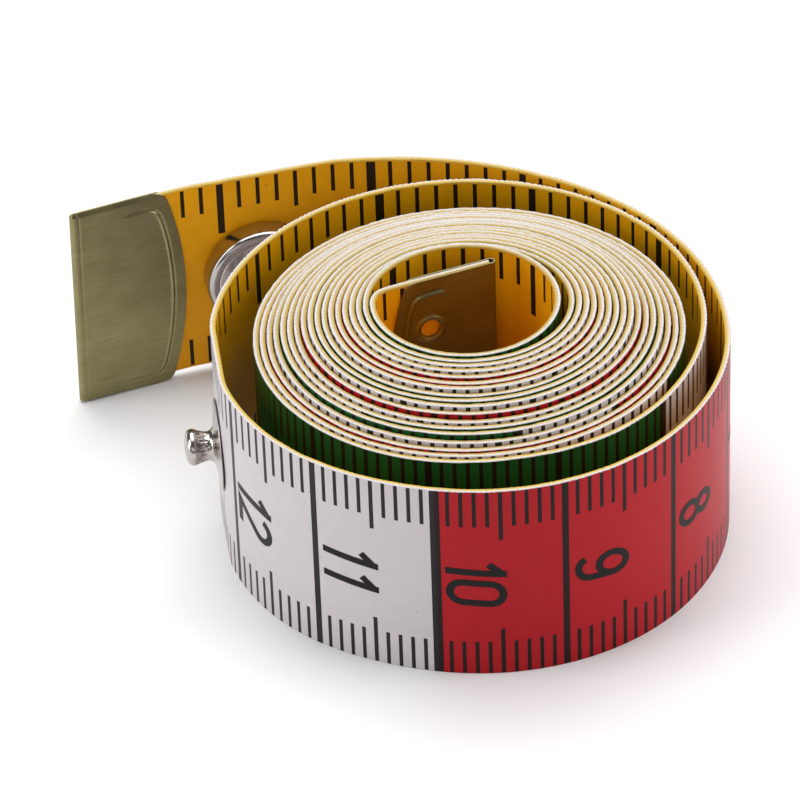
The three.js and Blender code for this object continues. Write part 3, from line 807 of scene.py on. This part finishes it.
def stroke_edges(points):
    """The two edges of a stroke, mitred at its corners, and whether it closes on itself."""
    closed = (points[0] - points[-1]).length < 1e-3
    if closed:
        points = points[:-1]
    edges = []
    for index, point in enumerate(points):
        before = points[index - 1] if index or closed else point
        after = points[(index + 1) % len(points)] if closed or index + 1 < len(points) else point
        ways = [way.normalized() for way in (point - before, after - point) if way.length > 0]
        heading = sum(ways, Vector((0, 0))).normalized()
        reach = FIGURE_STROKE / 2 / max(heading.dot(ways[0]), 0.45)
        side = Vector((-heading.y, heading.x)) * reach
        edges.append((point + side, point - side))
    return edges, closed


def print_figures(name, numbers, spacing, face):
    """A film of ink for each number, laid on the outer (1) or the inner (-1) face."""
    points, faces = [], []
    surface = TAPE_THICKNESS / 2
    for number in numbers:
        text = str(number)
        width = sum(map(figure_width, text)) + FIGURE_SPACE * (len(text) - 1)
        bearing = ONE_WIDTH - ONE_FLAG if text[0] == "1" else 0
        cursor = -(width + bearing) / 2
        for figure in text:
            for stroke in figure_strokes(figure):
                edges, closed = stroke_edges(evenly(stroke, INK_STEP))
                first = len(points)
                for pair in edges:
                    for out in (surface + INK_FILM, surface - INK_FILM):
                        for flat in (pair if out > surface else pair[::-1]):
                            aside = FIGURE_DROP + FIGURE_SLANT * (flat.y - FIGURE_HEIGHT / 2)
                            across = TAPE_WIDTH / 2 - face * (cursor + flat.x + aside)
                            along = number * spacing - FIGURE_BASE_GAP - flat.y
                            points.append(on_tape(along, across, face * out) * MM)
                count = len(edges)
                for index in range(count if closed else count - 1):
                    here, there = first + 4 * index, first + 4 * ((index + 1) % count)
                    for corner in range(4):
                        after = (corner + 1) % 4
                        faces.append((here + corner, there + corner, there + after, here + after))
                if not closed:
                    end = first + 4 * (count - 1)
                    faces.append((first + 3, first + 2, first + 1, first))
                    faces.append((end, end + 1, end + 2, end + 3))
            cursor += figure_width(figure) + FIGURE_SPACE
    figures = add_mesh(name, points, faces, [figure_ink])
    pick_piece(figures)
    bpy.ops.object.mode_set(mode="EDIT")
    bpy.ops.mesh.select_all(action="SELECT")
    bpy.ops.mesh.normals_make_consistent(inside=False)
    bpy.ops.object.mode_set(mode="OBJECT")
    return figures


figure_ink, ink_tree, ink_shader = start_material("figure_ink")
ink_coat = use_group(ink_tree, coated_weave, Colour=BLACK_INK, Mottle=0.3)
ink_tree.links.new(ink_coat.outputs["Colour"], ink_shader.inputs["Base Color"])
ink_tree.links.new(ink_coat.outputs["Gloss"], ink_shader.inputs["Roughness"])
ink_shader.inputs["Specular IOR Level"].default_value = 0.16

HIDDEN_CENTIMETRES = (1, 2, 13)
HIDDEN_INCHES = (5,)
LAST_CENTIMETRE = 30
PRINTS = [(1, CENTIMETRE, HIDDEN_CENTIMETRES, "centimetre"), (-1, INCH, HIDDEN_INCHES, "inch")]
figure_ends = [(name, start, end) for name, start, end, bodies, nodes in stretches]
figure_ends.append(("tape_roll", stretches[-1][2], LAST_CENTIMETRE * CENTIMETRE + 1))
sheet_figures = {}
for name, start, end in figure_ends:
    sheet_figures[name] = []
    for face, spacing, hidden, label in PRINTS:
        numbers = [n for n in range(1, LAST_CENTIMETRE + 1) if start < n * spacing - 1 <= end]
        numbers = [n for n in numbers if n not in hidden]
        if not numbers:
            continue
        figures = print_figures(name.replace("tape", label + "_figures"), numbers, spacing, face)
        if name == "tape_roll":
            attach(figures, "roll")
        else:
            bend_over_hinge(figures, next(row[3] for row in stretches if row[0] == name))
        sheet_figures[name].append(figures)

sheet_ends = {name: (start, end) for name, start, end, bodies, nodes in stretches}
sheet_ends["tape_roll"] = (stretches[-1][2], TAPE_LENGTH - TAPE_END)


# The brass tips
# Each end of the tape is bound by a sheet of brass folded round it and pinched flat, with a stamped
# line inside its rounded open edge. The inner tip has a pierced hole with a pressed collar.

TAPE_FACE = 0.26
TIP_BULGE = 1.5
TIP_CORNER_RADIUS = 0.85
TIP_SHEET = 0.12
TIP_INSIDE = 0.24
TIP_OUTER = TIP_INSIDE + TIP_SHEET
TIP_BOTTOM_OVERHANG = 0.57
OUTER_TIP_LENGTH = 9.55
OUTER_TIP_TOP = 0.3
OUTER_TIP_TAPER = 0.17
OUTER_TIP_TILT = math.radians(1.0)
INNER_TIP_TOP = 0.04
TIP_HOLE_RADIUS = 0.8
TIP_HOLE_FROM_FOLD = 5.7
TIP_HOLE_HEIGHT = 14.15
COLLAR_RADIUS = 1.08
COLLAR_WIDTH = 0.16
COLLAR_HEIGHT = 0.15
TIP_COLUMNS = 80
TIP_ROWS = 160
OUTER_TIP_GRID = [
    [(0, 0), (0.2, 0.12), (0.4, 0.78), (0.9, 0.97), (1, 1)],
    [(0, 0), (0.05, 0.03), (0.35, 0.11), (0.65, 0.86), (0.95, 0.96), (1, 1)],
]
INNER_TIP_GRID = [
    [(0, 0), (0.15, 0.12), (0.22, 0.42), (0.68, 0.74), (0.93, 0.97), (1, 1)],
    [(0, 0), (0.05, 0.1), (0.2, 0.66), (0.68, 0.83), (0.95, 0.97), (1, 1)],
]
STAMP_MARGIN = 1.15
STAMP_TOP_MARGIN = 1.5
STAMP_ROUNDING = 2.5
STAMP_WIDTH = 0.09
STAMP_HEIGHT = 0.1
STAMP_GROOVE = 0.2
FOLD_LINE = 0.68
FOLD_LINE_WIDTH = 0.08
FOLD_LINE_DEPTH = 0.03
SHEET_WAVE = 0.02
PINCH_GAP = 0.01
FOLD_STEPS = 12
TIP_BEVEL = 0.04
STAMP_START = 4.2
STAMP_FADE = 0.6
BRASS = (0.20, 0.175, 0.075)
BRASS_PALE = (0.46, 0.42, 0.24)


def make_brushed_group():
    """Brushed sheet: fine streaks one way, scattered scratches and dull stains."""
    inputs = [("Streak Length", "NodeSocketFloat"), ("Dullness", "NodeSocketFloat")]
    outputs = [(label, "NodeSocketFloat") for label in ("Streaks", "Stains", "Gloss", "Relief")]
    group, given, result = start_group("brushed_metal", inputs, outputs)
    place = object_coords(group)
    stretch = group.nodes.new("ShaderNodeVectorMath")
    stretch.operation = "MULTIPLY"
    combine = group.nodes.new("ShaderNodeCombineXYZ")
    group.links.new(given.outputs["Streak Length"], combine.inputs["X"])
    group.links.new(given.outputs["Streak Length"], combine.inputs["Y"])
    combine.inputs["Z"].default_value = 1.0
    group.links.new(place, stretch.inputs[0])
    group.links.new(combine.outputs[0], stretch.inputs[1])
    streaks = noise_on(group, stretch.outputs[0], 6500, 3, 0.6)
    stains = noise_on(group, place, 420, 4, 0.6)
    scratch = calc(group, "GREATER_THAN", noise_on(group, stretch.outputs[0], 2100, 1), 0.73)
    gloss = calc(group, "ADD", given.outputs["Dullness"], calc(group, "MULTIPLY", streaks, 0.18))
    gloss = calc(group, "ADD", gloss, calc(group, "MULTIPLY", stains, 0.12))
    group.links.new(streaks, result.inputs["Streaks"])
    group.links.new(stains, result.inputs["Stains"])
    group.links.new(gloss, result.inputs["Gloss"])
    relief = calc(group, "ADD", streaks, calc(group, "MULTIPLY", scratch, 0.7))
    group.links.new(relief, result.inputs["Relief"])
    return group


brushed_metal = make_brushed_group()


def make_metal(name, colour, pale, streak_length, dullness, relief):
    material, tree, shader = start_material(name)
    brushed = use_group(tree, brushed_metal, Streak_Length=streak_length, Dullness=dullness)
    share = calc(tree, "MULTIPLY", brushed.outputs["Streaks"], brushed.outputs["Stains"])
    tree.links.new(blend_colours(tree, share, colour, pale), shader.inputs["Base Color"])
    tree.links.new(brushed.outputs["Gloss"], shader.inputs["Roughness"])
    tree.links.new(bump_from(tree, brushed.outputs["Relief"], relief, 0.00001), shader.inputs["Normal"])
    shader.inputs["Metallic"].default_value = 1.0
    return material


brass = make_metal("stamped_brass", BRASS, BRASS_PALE, 0.06, 0.22, 0.35)


def pick_points(test):
    """Selects, in edit mode, the points that pass a test and what lies between them."""
    bpy.ops.mesh.select_mode(type="VERT")
    bpy.ops.mesh.select_all(action="DESELECT")
    shape = bmesh.from_edit_mesh(bpy.context.object.data)
    for point in shape.verts:
        point.select_set(test(point.co))
    shape.select_flush(True)
    bmesh.update_edit_mesh(bpy.context.object.data)


def apply_modifier(piece, kind, **settings):
    modifier = piece.modifiers.new(kind.lower(), kind)
    for label, value in settings.items():
        setattr(modifier, label, value)
    bpy.context.view_layer.objects.active = piece
    bpy.ops.object.modifier_apply(modifier=modifier.name)


def round_edges(piece, width, angle):
    limit = math.radians(angle)
    apply_modifier(piece, "BEVEL", width=width, segments=2, limit_method="ANGLE", angle_limit=limit)


def tip_edge(up, length, height):
    """How far the leaf's open edge lies from the fold, at a height: bulged, with rounded corners."""
    share = up / height
    edge = length - TIP_BULGE + TIP_BULGE * 4 * share * (1 - share)
    inset = max(TIP_CORNER_RADIUS - min(up, height - up), 0)
    return edge - TIP_CORNER_RADIUS + math.sqrt(max(TIP_CORNER_RADIUS**2 - inset**2, 0))


def stamped_height(along, up, length, height):
    """The stamped line follows the open edge inside the leaf; a crease runs beside the fold."""
    gaps = (
        tip_edge(up, length, height) - along - STAMP_MARGIN,
        up - STAMP_MARGIN,
        height - up - STAMP_TOP_MARGIN,
    )
    inside = -math.log(sum(math.exp(-STAMP_ROUNDING * gap) for gap in gaps)) / STAMP_ROUNDING
    line = math.exp(-((inside / STAMP_WIDTH) ** 2))
    line -= 0.5 * math.exp(-(((inside + STAMP_GROOVE) / STAMP_WIDTH) ** 2))
    crease = FOLD_LINE_DEPTH * math.exp(-(((along - FOLD_LINE) / FOLD_LINE_WIDTH) ** 2))
    return STAMP_HEIGHT * line * smooth_share((along - STAMP_START) / STAMP_FADE) - crease


def collar_height(along, up):
    """The ring pressed up round the pierced hole."""
    away = math.hypot(along - TIP_HOLE_FROM_FOLD, up - TIP_HOLE_HEIGHT)
    return COLLAR_HEIGHT * math.exp(-(((away - COLLAR_RADIUS) / COLLAR_WIDTH) ** 2))


def spread(share, stops):
    """Moves the lines of an even grid so that they lie closer where the sheet is stamped."""
    for (start, low), (end, high) in zip(stops, stops[1:]):
        if share <= end:
            return low + (high - low) * (share - start) / (end - start)
    return 1.0


def fold_tip(name, length, top, grid, pinched):
    """One leaf is cut out and stamped, the fold is spun from its edge, and the leaf is copied."""
    height = TAPE_WIDTH + top + TIP_BOTTOM_OVERHANG
    bpy.ops.object.select_all(action="DESELECT")
    bpy.ops.mesh.primitive_grid_add(x_subdivisions=TIP_COLUMNS, y_subdivisions=TIP_ROWS, size=1)
    tip = bpy.context.object
    tip.name = name
    bpy.ops.object.mode_set(mode="EDIT")
    bpy.ops.mesh.select_all(action="SELECT")
    bpy.ops.transform.translate(value=(0.5, 0.5, 0))
    bpy.ops.transform.resize(value=(1, height, 1), center_override=(0, 0, 0))
    shape = bmesh.from_edit_mesh(tip.data)
    for point in shape.verts:
        up = height * spread(point.co.y / height, grid[1])
        leaf = tip_edge(up, length, height) - TIP_OUTER
        along = TIP_OUTER + leaf * spread(point.co.x, grid[0])
        wave = SHEET_WAVE * noise.noise(Vector((along / 3, up / 4, 1.0)))
        wave *= smooth_share(along - FOLD_LINE)
        out = TIP_OUTER + stamped_height(along, up, length, height) + wave
        point.co.y = up
        if pinched:
            out -= (TIP_INSIDE - PINCH_GAP) * smooth_share((up - height + top) / top)
            point.co.y += OUTER_TIP_TAPER * (1 - along / length) * (1 - 2 * up / height)
        else:
            out += collar_height(along, up)
        point.co.x = along
        point.co.z = out
    bmesh.update_edit_mesh(tip.data)
    pick_points(lambda p: p.x < TIP_OUTER + 0.001)
    bpy.ops.mesh.spin(steps=FOLD_STEPS, angle=math.pi, center=(TIP_OUTER, 0, 0), axis=(0, 1, 0))
    pick_points(lambda p: p.x > TIP_OUTER - 0.001 and p.z > 0)
    bpy.ops.mesh.duplicate()
    bpy.ops.transform.resize(value=(1, 1, -1), center_override=(0, 0, 0))
    bpy.ops.mesh.select_all(action="SELECT")
    bpy.ops.mesh.remove_doubles(threshold=0.001)
    bpy.ops.mesh.normals_make_consistent(inside=False)
    bpy.ops.object.mode_set(mode="OBJECT")
    apply_modifier(tip, "SOLIDIFY", thickness=TIP_SHEET, offset=-1.0)
    round_edges(tip, TIP_BEVEL, 45)
    tip.data.transform(Matrix.Rotation(math.pi / 2, 4, "X"))
    return tip


def settle(piece, place, material, angle):
    """Puts a finished piece in its place on the tape, in metres, with its material."""
    piece.data.transform(place)
    piece.data.materials.clear()
    piece.data.materials.append(material)
    smooth(piece, angle)


tip_drop = Matrix.Translation((0, 0, -TAPE_WIDTH / 2 - TIP_BOTTOM_OVERHANG))
outer_tip = fold_tip("folded_outer_tip", OUTER_TIP_LENGTH, OUTER_TIP_TOP, OUTER_TIP_GRID, True)
settle(outer_tip, tape_place(0) @ tip_drop @ Matrix.Rotation(OUTER_TIP_TILT, 4, "Y"), brass, 35)
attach(outer_tip, "tail_end")
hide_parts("outer_tip")

inner_tip = fold_tip("folded_inner_tip", TIP_LENGTH, INNER_TIP_TOP, INNER_TIP_GRID, False)
bpy.ops.object.select_all(action="DESELECT")
bpy.ops.mesh.primitive_cylinder_add(vertices=40, radius=TIP_HOLE_RADIUS, depth=4 * TIP_OUTER)
punch = bpy.context.object
punch.data.transform(Matrix.Translation((TIP_HOLE_FROM_FOLD, 0, TIP_HOLE_HEIGHT))
                     @ Matrix.Rotation(math.pi / 2, 4, "X"))
apply_modifier(inner_tip, "BOOLEAN", object=punch, operation="DIFFERENCE", solver="EXACT")
bpy.data.objects.remove(punch)
settle(inner_tip, tape_place(TAPE_LENGTH) @ Matrix.Rotation(math.pi, 4, "Z") @ tip_drop, brass, 35)
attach(inner_tip, "roll")
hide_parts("inner_tip")


# The press stud
# The male half of the fastener is drawn from nickel-plated sheet: a wide flange, a flared foot, a neck
# creased by the drawing and a domed head. A post riveted through the tape holds it from behind.

STUD_FLANGE_THICKNESS = 0.3
STUD_RIM = 0.13
STUD_FOOT_RADIUS = 1.8
STUD_FOOT_HEIGHT = 0.7
STUD_NECK_RADIUS = 1.1
STUD_NECK_HEIGHT = 0.35
STUD_HEAD_RADIUS = 1.5
STUD_HEAD_LOWER = 0.4
STUD_WALL = 0.35
POST_FLANGE_RADIUS = 3.2
POST_FLANGE_THICKNESS = 0.35
POST_DIMPLE_EDGE = 1.6
POST_DIMPLE_FLOOR = 1.2
POST_DIMPLE_DEPTH = 0.16
POST_CLEARANCE = 0.2
HOLE_CLEARANCE = 0.3
EDGE_ROUND = 0.15
STUD_BORE_RADIUS = STUD_NECK_RADIUS - STUD_WALL
POST_RADIUS = STUD_BORE_RADIUS - POST_CLEARANCE
CENTRE_RADIUS = 0.02
TURNED_SIDES = 132
FOOT_SPREAD = 0.8
FOOT_DROP = 0.08
FOOT_RISE = 0.05
NECK_SWELL = 0.06
NECK_FLARE = 0.17
CREASE_LOW = 0.64
CREASE_HIGH = 1.34
CREASE_COUNT = 22
CREASE_DEPTH = 0.06
CREASE_RINGS = 6
STUD_TILT = math.radians(-0.5)
NICKEL = (0.43, 0.395, 0.375)
NICKEL_PALE = (0.58, 0.54, 0.51)

nickel = make_metal("nickel_plate", NICKEL, NICKEL_PALE, 1.0, 0.05, 0.10)


def quarter(start, end, upright, steps=8):
    """A quarter of an ellipse between two profile points, which leaves the first upright or flat."""
    points = []
    for step in range(1, steps + 1):
        angle = math.pi / 2 * step / steps
        if upright:
            share_out, share_up = 1 - math.cos(angle), math.sin(angle)
        else:
            share_out, share_up = math.sin(angle), 1 - math.cos(angle)
        out = start[0] + (end[0] - start[0]) * share_out
        points.append((out, start[1] + (end[1] - start[1]) * share_up))
    return points


def turn_piece(name, profile):
    """A ring is drawn out along a profile of radius and height, and closed at its ends."""
    profile = [(max(radius, CENTRE_RADIUS), height) for radius, height in profile]
    bpy.ops.object.select_all(action="DESELECT")
    bpy.ops.mesh.primitive_circle_add(vertices=TURNED_SIDES, radius=profile[0][0])
    piece = bpy.context.object
    piece.name = name
    bpy.ops.object.mode_set(mode="EDIT")
    bpy.ops.mesh.select_all(action="SELECT")
    bpy.ops.transform.translate(value=(0, 0, profile[0][1]))
    for (radius, height), (next_radius, next_height) in zip(profile, profile[1:]):
        bpy.ops.mesh.extrude_region_move(TRANSFORM_OT_translate={"value": (0, 0, next_height - height)})
        share = next_radius / radius
        bpy.ops.transform.resize(value=(share, share, 1), center_override=(0, 0, next_height))
    bpy.ops.mesh.select_all(action="SELECT")
    bpy.ops.mesh.remove_doubles(threshold=0.004)
    for height in {profile[0][1], profile[-1][1]}:
        pick_points(lambda p: p.to_2d().length < 1.5 * CENTRE_RADIUS and abs(p.z - height) < 0.001)
        bpy.ops.mesh.merge(type="CENTER")
    bpy.ops.mesh.select_all(action="SELECT")
    bpy.ops.mesh.normals_make_consistent(inside=False)
    bpy.ops.object.mode_set(mode="OBJECT")
    return piece


facing_out = Matrix.Rotation(-math.pi / 2, 4, "X")
facing_in = Matrix.Rotation(math.pi / 2, 4, "X")

flange_top = TAPE_FACE + STUD_FLANGE_THICKNESS
foot_top = flange_top + STUD_FOOT_HEIGHT
head_low = foot_top + STUD_NECK_HEIGHT
head_widest = head_low + STUD_HEAD_LOWER
flange_side = STUD_FLANGE_RADIUS - EDGE_ROUND
rim_middle = TAPE_FACE + STUD_RIM / 2
foot_edge = (STUD_FOOT_RADIUS, flange_top + FOOT_RISE)
neck_side = STUD_NECK_RADIUS + NECK_SWELL
crease_low = flange_top + CREASE_LOW
crease_high = flange_top + CREASE_HIGH
crease_shares = [ring / CREASE_RINGS for ring in range(CREASE_RINGS + 1)]
head_outline = [
    (1.36, 1.42), (1.43, 1.55), (1.47, 1.66), (1.48, 1.76), (1.47, 1.88), (1.43, 2.0), (1.35, 2.12),
    (1.23, 2.23), (1.07, 2.31), (0.86, 2.37), (0.6, 2.41), (0.3, 2.44), (0, 2.45),
]
stud = turn_piece("press_stud", [
    (0, head_widest),
    (STUD_BORE_RADIUS, head_widest),
    (STUD_BORE_RADIUS, TAPE_FACE),
    (flange_side, TAPE_FACE),
    *quarter((flange_side, TAPE_FACE), (STUD_FLANGE_RADIUS, rim_middle), False, 4),
    *quarter((STUD_FLANGE_RADIUS, rim_middle), (flange_side, TAPE_FACE + STUD_RIM), True, 4),
    (STUD_FOOT_RADIUS + FOOT_SPREAD, flange_top - FOOT_DROP),
    foot_edge,
    *quarter(foot_edge, (neck_side, crease_low), False),
    *[
        (neck_side + NECK_FLARE * share**1.5, crease_low + (crease_high - crease_low) * share)
        for share in crease_shares
    ],
    *[(radius, flange_top + height) for radius, height in head_outline],
])
for point in stud.data.vertices:
    radius = point.co.to_2d().length
    if crease_low - 0.01 < point.co.z < crease_high + 0.01 and radius > STUD_BORE_RADIUS + 0.1:
        ridge = 0.5 + 0.5 * math.cos(CREASE_COUNT * math.atan2(point.co.y, point.co.x))
        along = (point.co.z - crease_low) / (crease_high - crease_low)
        share = 1 - CREASE_DEPTH * (1 - ridge) * math.sin(math.pi * min(max(along, 0), 1)) ** 0.5
        point.co.x *= share
        point.co.y *= share
pressed_edge = Matrix.Translation((STUD_FLANGE_RADIUS, TAPE_FACE, 0))
tilted = pressed_edge @ Matrix.Rotation(STUD_TILT, 4, "Z") @ pressed_edge.inverted()
settle(stud, tape_place(STUD_STATION) @ tilted @ facing_out, nickel, 40)
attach(stud, "roll")
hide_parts("snap_stud")

post_high = TAPE_FACE + POST_FLANGE_THICKNESS
post_end = HOLE_CLEARANCE - head_widest
post_side = POST_FLANGE_RADIUS - EDGE_ROUND
post_edge = (POST_FLANGE_RADIUS, TAPE_FACE + EDGE_ROUND)
post = turn_piece("press_post", [
    (0, post_end),
    (POST_RADIUS, post_end),
    (POST_RADIUS, TAPE_FACE),
    (post_side, TAPE_FACE),
    *quarter((post_side, TAPE_FACE), post_edge, False, 4),
    *quarter(post_edge, (POST_RADIUS * POST_DIMPLE_EDGE, post_high), True),
    (POST_RADIUS * POST_DIMPLE_FLOOR, post_high - 0.75 * POST_DIMPLE_DEPTH),
    (0, post_high - POST_DIMPLE_DEPTH),
])
settle(post, tape_place(STUD_STATION) @ facing_in, nickel, 40)
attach(post, "roll")
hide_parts("stud_post")


# The press socket
# The female half sits on the inner face of the tail: a shallow nickel case with a rolled rim and a
# mouth, and two spring wires inside that grip the stud's neck. A domed cap riveted through the tape
# from outside holds it.

SOCKET_RADIUS = 4.75
SOCKET_WALL = 0.35
SOCKET_CORNER_RADIUS = 0.5
SOCKET_RIM_WIDTH = 0.9
SOCKET_FACE_DROP = 0.1
SOCKET_RIM_FOOT = 0.12
SPRING_WIRE_RADIUS = 0.22
SPRING_GAP = 0.26
SPRING_BOW = 0.12
SPRING_BEVEL = 0.06
CAP_RADIUS = 4.9
CAP_RIM = 0.25
CAP_DOME = 1.05
CAP_WALL = 0.35
CAP_BARREL_RADIUS = 1.5
CAP_LIP = 0.75
SNAP_CLEARANCE = 0.25
STEEL = (0.42, 0.41, 0.40)
STEEL_PALE = (0.60, 0.59, 0.58)

spring_steel = make_metal("spring_wire", STEEL, STEEL_PALE, 0.1, 0.2, 0.2)
case_floor = TAPE_FACE + SOCKET_WALL
lip_low = case_floor + POST_CLEARANCE
lip_high = lip_low + CAP_WALL
spring_height = lip_high + SPRING_GAP + SPRING_WIRE_RADIUS
case_ceiling = spring_height + SPRING_WIRE_RADIUS + SNAP_CLEARANCE
case_high = case_ceiling + SOCKET_WALL
case_face = case_high - SOCKET_FACE_DROP
mouth = STUD_HEAD_RADIUS + SNAP_CLEARANCE
back_hole = CAP_BARREL_RADIUS + HOLE_CLEARANCE
cavity = SOCKET_RADIUS - SOCKET_WALL
shoulder = SOCKET_RADIUS - SOCKET_CORNER_RADIUS
rim_inside = SOCKET_RADIUS - SOCKET_RIM_WIDTH
socket = turn_piece("press_socket", [
    (back_hole, TAPE_FACE),
    (shoulder, TAPE_FACE),
    *quarter((shoulder, TAPE_FACE), (SOCKET_RADIUS, TAPE_FACE + SOCKET_CORNER_RADIUS), False),
    (SOCKET_RADIUS, case_high - SOCKET_CORNER_RADIUS),
    *quarter((SOCKET_RADIUS, case_high - SOCKET_CORNER_RADIUS), (shoulder, case_high), True),
    *quarter((shoulder, case_high), (rim_inside, case_face - SOCKET_RIM_FOOT / 2), False, 5),
    (rim_inside - SOCKET_RIM_FOOT, case_face),
    (mouth + 2 * EDGE_ROUND, case_face),
    *quarter((mouth + 2 * EDGE_ROUND, case_face), (mouth, case_face - EDGE_ROUND), False, 5),
    (mouth, case_ceiling),
    (cavity - EDGE_ROUND, case_ceiling),
    (cavity, case_ceiling - EDGE_ROUND),
    (cavity, case_floor + EDGE_ROUND),
    (cavity - EDGE_ROUND, case_floor),
    (back_hole, case_floor),
    (back_hole, TAPE_FACE),
])
socket_place = tape_place(SOCKET_STATION)
settle(socket, socket_place @ facing_in, nickel, 40)
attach(socket, "tail_end")
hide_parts("snap_socket")

spring_offset = STUD_NECK_RADIUS + SPRING_WIRE_RADIUS + SNAP_CLEARANCE / 2
spring_reach = spring_offset + SPRING_WIRE_RADIUS
spring_length = 2 * math.sqrt((cavity - HOLE_CLEARANCE) ** 2 - spring_reach**2)
for name, side in (("outer", -1), ("inner", 1)):
    bpy.ops.object.select_all(action="DESELECT")
    bpy.ops.mesh.primitive_cylinder_add(vertices=16, radius=SPRING_WIRE_RADIUS, depth=spring_length)
    wire = bpy.context.object
    wire.name = "spring_wire_" + name
    bpy.ops.object.mode_set(mode="EDIT")
    bpy.ops.mesh.select_mode(type="EDGE")
    bpy.ops.mesh.select_all(action="DESELECT")
    shape = bmesh.from_edit_mesh(wire.data)
    for edge in shape.edges:
        edge.select_set(abs(edge.verts[0].co.z - edge.verts[1].co.z) > 1)
    bmesh.update_edit_mesh(wire.data)
    bpy.ops.mesh.subdivide(number_cuts=12)
    shape = bmesh.from_edit_mesh(wire.data)
    for point in shape.verts:
        point.co.x += side * SPRING_BOW * (math.cos(math.pi * point.co.z / spring_length) - 1)
    bmesh.update_edit_mesh(wire.data)
    bpy.ops.object.mode_set(mode="OBJECT")
    round_edges(wire, SPRING_BEVEL, 60)
    wire.data.transform(Matrix.Translation((side * spring_offset, -spring_height, 0)))
    settle(wire, socket_place, spring_steel, 40)
    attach(wire, "tail_end")
    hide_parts("socket_spring_" + name)

dome_low = TAPE_FACE + CAP_RIM
dome_high = dome_low + CAP_DOME
cap_underside = dome_high - CAP_WALL
cap_inside = CAP_RADIUS - CAP_WALL
barrel_inside = CAP_BARREL_RADIUS - CAP_WALL
cap = turn_piece("press_cap", [
    (0, cap_underside),
    (barrel_inside, cap_underside),
    (barrel_inside, -lip_high),
    (CAP_BARREL_RADIUS + CAP_LIP, -lip_high),
    (CAP_BARREL_RADIUS + CAP_LIP, -lip_low),
    (CAP_BARREL_RADIUS, -lip_low),
    (CAP_BARREL_RADIUS, cap_underside),
    *quarter((CAP_BARREL_RADIUS, cap_underside), (cap_inside, dome_low), False),
    (cap_inside, TAPE_FACE),
    (CAP_RADIUS - EDGE_ROUND, TAPE_FACE),
    *quarter((CAP_RADIUS - EDGE_ROUND, TAPE_FACE), (CAP_RADIUS, dome_low), False, 4),
    *quarter((CAP_RADIUS, dome_low), (0, dome_high), True, 16),
])
settle(cap, socket_place @ facing_out, nickel, 40)
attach(cap, "tail_end")
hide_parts("snap_cap")


# The studio
# A pale floor under a wide soft light from above and behind, with low softboxes on both sides and a
# weak one in front. The camera stands where the photograph was taken from.

CAMERA_TARGET = (0.557 * MM, 4.528 * MM, 6.38 * MM)
CAMERA_DISTANCE = 475.9 * MM
CAMERA_ELEVATION = math.radians(39.01)
CAMERA_ROLL = math.radians(-2.13)
CAMERA_LENS = 266.0
FLOOR_SIZE = 3.0

bpy.ops.object.select_all(action="DESELECT")
bpy.ops.mesh.primitive_plane_add(size=FLOOR_SIZE)
floor = bpy.context.object
floor.name = "floor"
floor_material, floor_tree, floor_shader = start_material("pale_floor")
floor_tint = noise_on(floor_tree, object_coords(floor_tree), 9, 2)
floor_colour = blend_colours(floor_tree, floor_tint, (0.90, 0.90, 0.90), (0.93, 0.93, 0.93))
floor_tree.links.new(floor_colour, floor_shader.inputs["Base Color"])
floor_shader.inputs["Roughness"].default_value = 0.7
floor.data.materials.append(floor_material)


def add_softbox(name, place, aim, size, power):
    light = bpy.data.lights.new(name, "AREA")
    light.shape = "RECTANGLE"
    light.size, light.size_y = size
    light.energy = power
    lamp = bpy.data.objects.new(name, light)
    lamp.location = place
    lamp.rotation_euler = (Vector(aim) - Vector(place)).to_track_quat("-Z", "Y").to_euler()
    bpy.context.collection.objects.link(lamp)


add_softbox("top_softbox", (0.0, 0.30, 0.85), (0, 0, 0), (1.1, 1.0), 11.0)
add_softbox("left_softbox", (-0.85, -0.15, 0.38), (0, 0, 0.01), (0.5, 0.9), 4.2)
add_softbox("right_softbox", (0.85, -0.10, 0.38), (0, 0, 0.01), (0.5, 0.9), 4.1)
add_softbox("front_softbox", (-0.15, -0.85, 0.40), (0, 0, 0.01), (0.9, 0.35), 0.9)

world = bpy.data.worlds.new("studio")
world.use_nodes = True
world.node_tree.nodes["Background"].inputs["Color"].default_value = (0.9, 0.92, 0.95, 1)
world.node_tree.nodes["Background"].inputs["Strength"].default_value = 0.12
bpy.context.scene.world = world
bpy.context.scene.view_settings.view_transform = "Standard"

view_along = Vector((0, math.cos(CAMERA_ELEVATION), -math.sin(CAMERA_ELEVATION)))
camera_data = bpy.data.cameras.new("camera")
camera_data.lens = CAMERA_LENS
camera_data.clip_start = 0.01
camera = bpy.data.objects.new("camera", camera_data)
upright = view_along.to_track_quat("-Z", "Y").to_matrix().to_4x4()
place = Matrix.Translation(Vector(CAMERA_TARGET) - view_along * CAMERA_DISTANCE)
camera.matrix_world = place @ upright @ Matrix.Rotation(CAMERA_ROLL, 4, "Z")
bpy.context.collection.objects.link(camera)
bpy.context.scene.camera = camera
